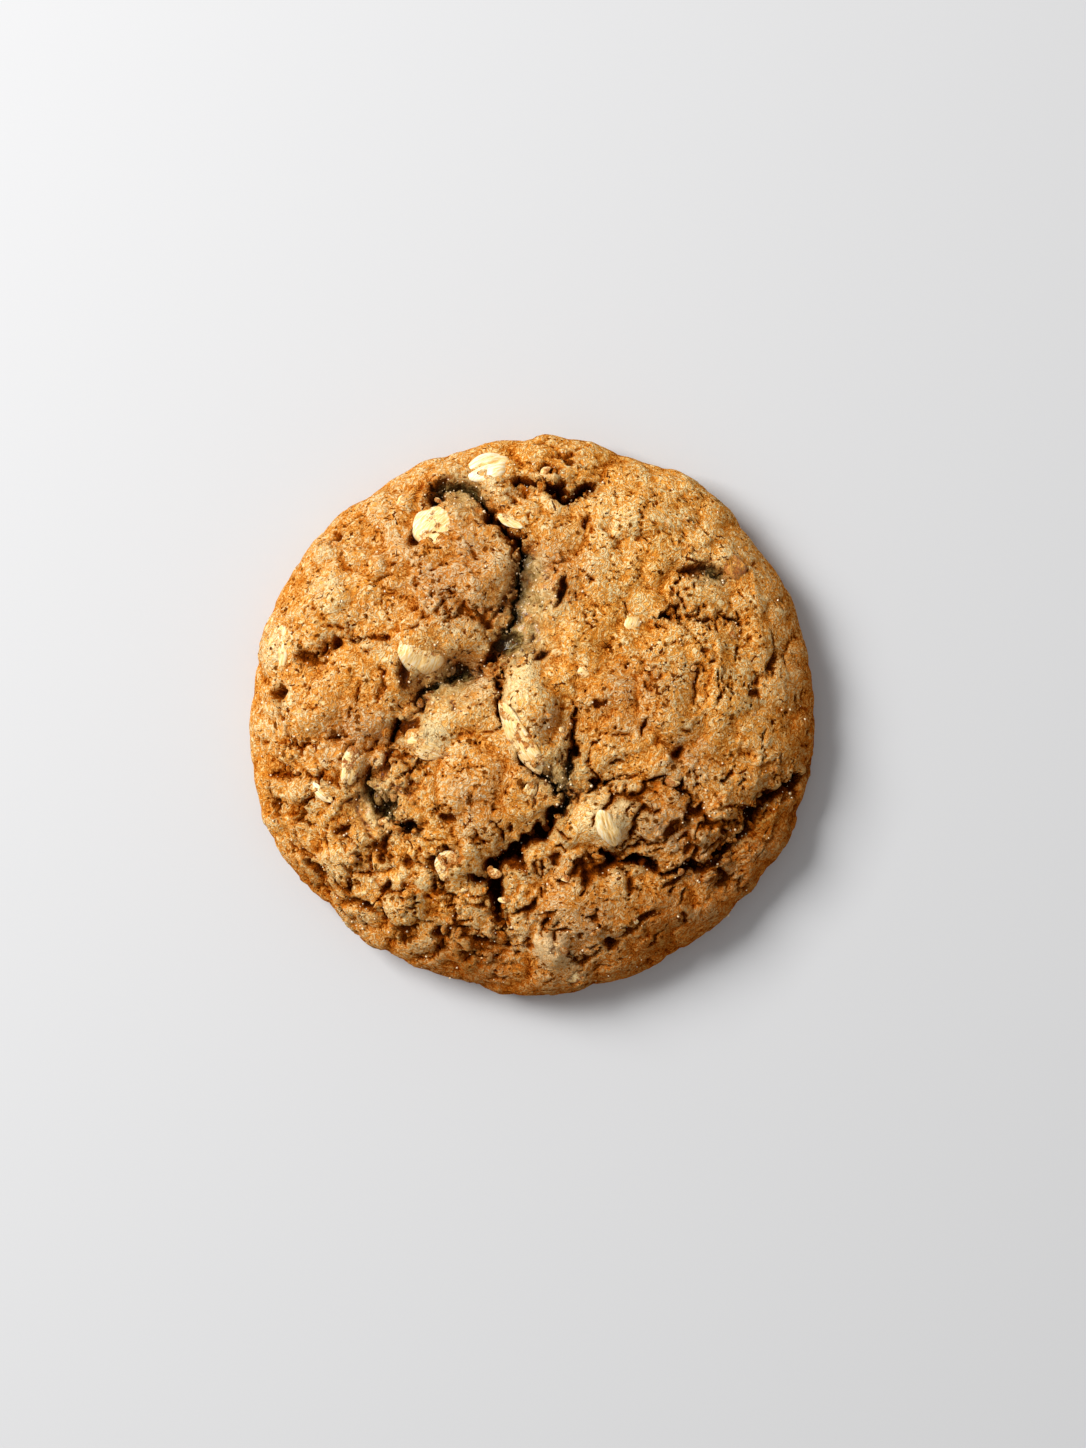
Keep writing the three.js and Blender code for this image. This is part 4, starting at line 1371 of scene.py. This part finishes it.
def crust_material():
    s = Shader("baked_crust")
    grain = crust_grain(s)
    colour, moist = crust_colour(s, grain)
    return s.dressed(
        {
            "Base Color": colour,
            "Roughness": s.span(moist, 0.0, 1.0, *CRUST_ROUGHNESS),
            "Specular IOR Level": 0.0,
            "Coat Weight": s.times(moist, GLOSS),
            "Coat Roughness": GLOSS_ROUGHNESS,
            "Normal": s.bump(s.total(0.0, HEIGHT_WEIGHTS, grain)),
        }
    )


def oat_material():
    s = Shader("rolled_oat")
    grain = crust_grain(s)
    crust, _ = crust_colour(s, grain)
    coat = s.attribute("coat")
    caramel = s.attribute("caramel")
    along = s.times(s.attribute("along"), OAT_FIBRE_SCALE[0])
    across = s.times(s.attribute("across"), OAT_FIBRE_SCALE[1])
    place = s.add("ShaderNodeCombineXYZ", X=along, Y=across).outputs[0]
    fibre = s.noise(*OAT_FIBRE_NOISE, place)
    tone = s.span(fibre, *NOISE_MIDDLE, *OAT_FIBRE_TONE)
    tone = s.math("MULTIPLY_ADD", s.attribute("fold"), OAT_FOLD_TONE, tone)
    tone = s.math("ADD", tone, s.span(coat, *OAT_BARE_SPAN))
    cover = s.math("ADD", s.swing(s.noise(*OAT_COVER_NOISE), *NOISE_MIDDLE), coat)
    cover = s.math("MAXIMUM", s.span(cover, *OAT_COVER_EDGES), caramel)
    height = s.blend(cover, s.times(fibre, OAT_FIBRE_HEIGHT), s.total(0.0, HEIGHT_WEIGHTS, grain))
    return s.dressed(
        {
            "Base Color": s.mix(cover, s.ramp(tone, OAT_TONES), crust),
            "Roughness": OAT_ROUGHNESS,
            "Specular IOR Level": OAT_SPECULAR,
            "Coat Weight": s.times(caramel, GLOSS),
            "Coat Roughness": GLOSS_ROUGHNESS,
            "Normal": s.bump(height),
        }
    )


def sugar_material():
    s = Shader("sugar")
    colour = s.ramp(s.noise(SUGAR_SCALE), SUGAR_TONES)
    return s.dressed({"Base Color": colour, "Roughness": SUGAR_ROUGHNESS})


def floor_material():
    s = Shader("pale_floor")
    return s.dressed(
        {
            "Base Color": FLOOR_COLOUR,
            "Roughness": FLOOR_ROUGHNESS,
            "Specular IOR Level": FLOOR_SPECULAR,
        }
    )


def make_floor():
    mesh = bpy.data.meshes.new("floor")
    half = FLOOR_HALF
    corners = [(-half, -half, 0), (half, -half, 0), (half, half, 0), (-half, half, 0)]
    mesh.from_pydata(corners, [], [(0, 1, 2, 3)])
    mesh.materials.append(floor_material())
    floor = placed("floor", mesh)
    floor.location.z = -FLOOR_DROP


def make_light():
    light = bpy.data.lights.new("key", "AREA")
    light.size = KEY_SIZE
    light.energy = KEY_POWER
    lamp = placed("key", light)
    x, y = math.cos(KEY_ELEVATION) * heading(KEY_AZIMUTH)
    lamp.location = Vector((x, y, math.sin(KEY_ELEVATION))) * KEY_DISTANCE
    lamp.rotation_euler = (-lamp.location).to_track_quat("-Z", "Y").to_euler()
    world = bpy.data.worlds.new("studio")
    world.use_nodes = True
    sky = world.node_tree.nodes["Background"]
    sky.inputs["Color"].default_value = SKY_COLOUR
    sky.inputs["Strength"].default_value = SKY_STRENGTH
    bpy.context.scene.world = world
    bpy.context.scene.view_settings.view_transform = "Standard"


def make_camera():
    camera = bpy.data.cameras.new("camera")
    camera.lens = LENS
    camera.sensor_width = SENSOR
    camera.clip_start = CLIP_START * MM
    eye = placed("camera", camera)
    height = SHOULDER + PHOTO_TALL * LENS / SENSOR
    eye.location = (PHOTO_MIDDLE[0] * MM, PHOTO_MIDDLE[1] * MM, height * MM)
    bpy.context.scene.camera = eye


crust, ground = make_crust()
baked = crust_material()
pieces = [
    (crust, baked, "crust"),
    (make_crumbs(ground), baked, "crust"),
    (make_oats(ground), oat_material(), "oats"),
    (make_sugar(ground), sugar_material(), "oats"),
]
for piece, material, slot in pieces:
    piece.data.materials.append(material)
    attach(piece, "root")
    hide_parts("cookie")

make_floor()
make_light()
make_camera()
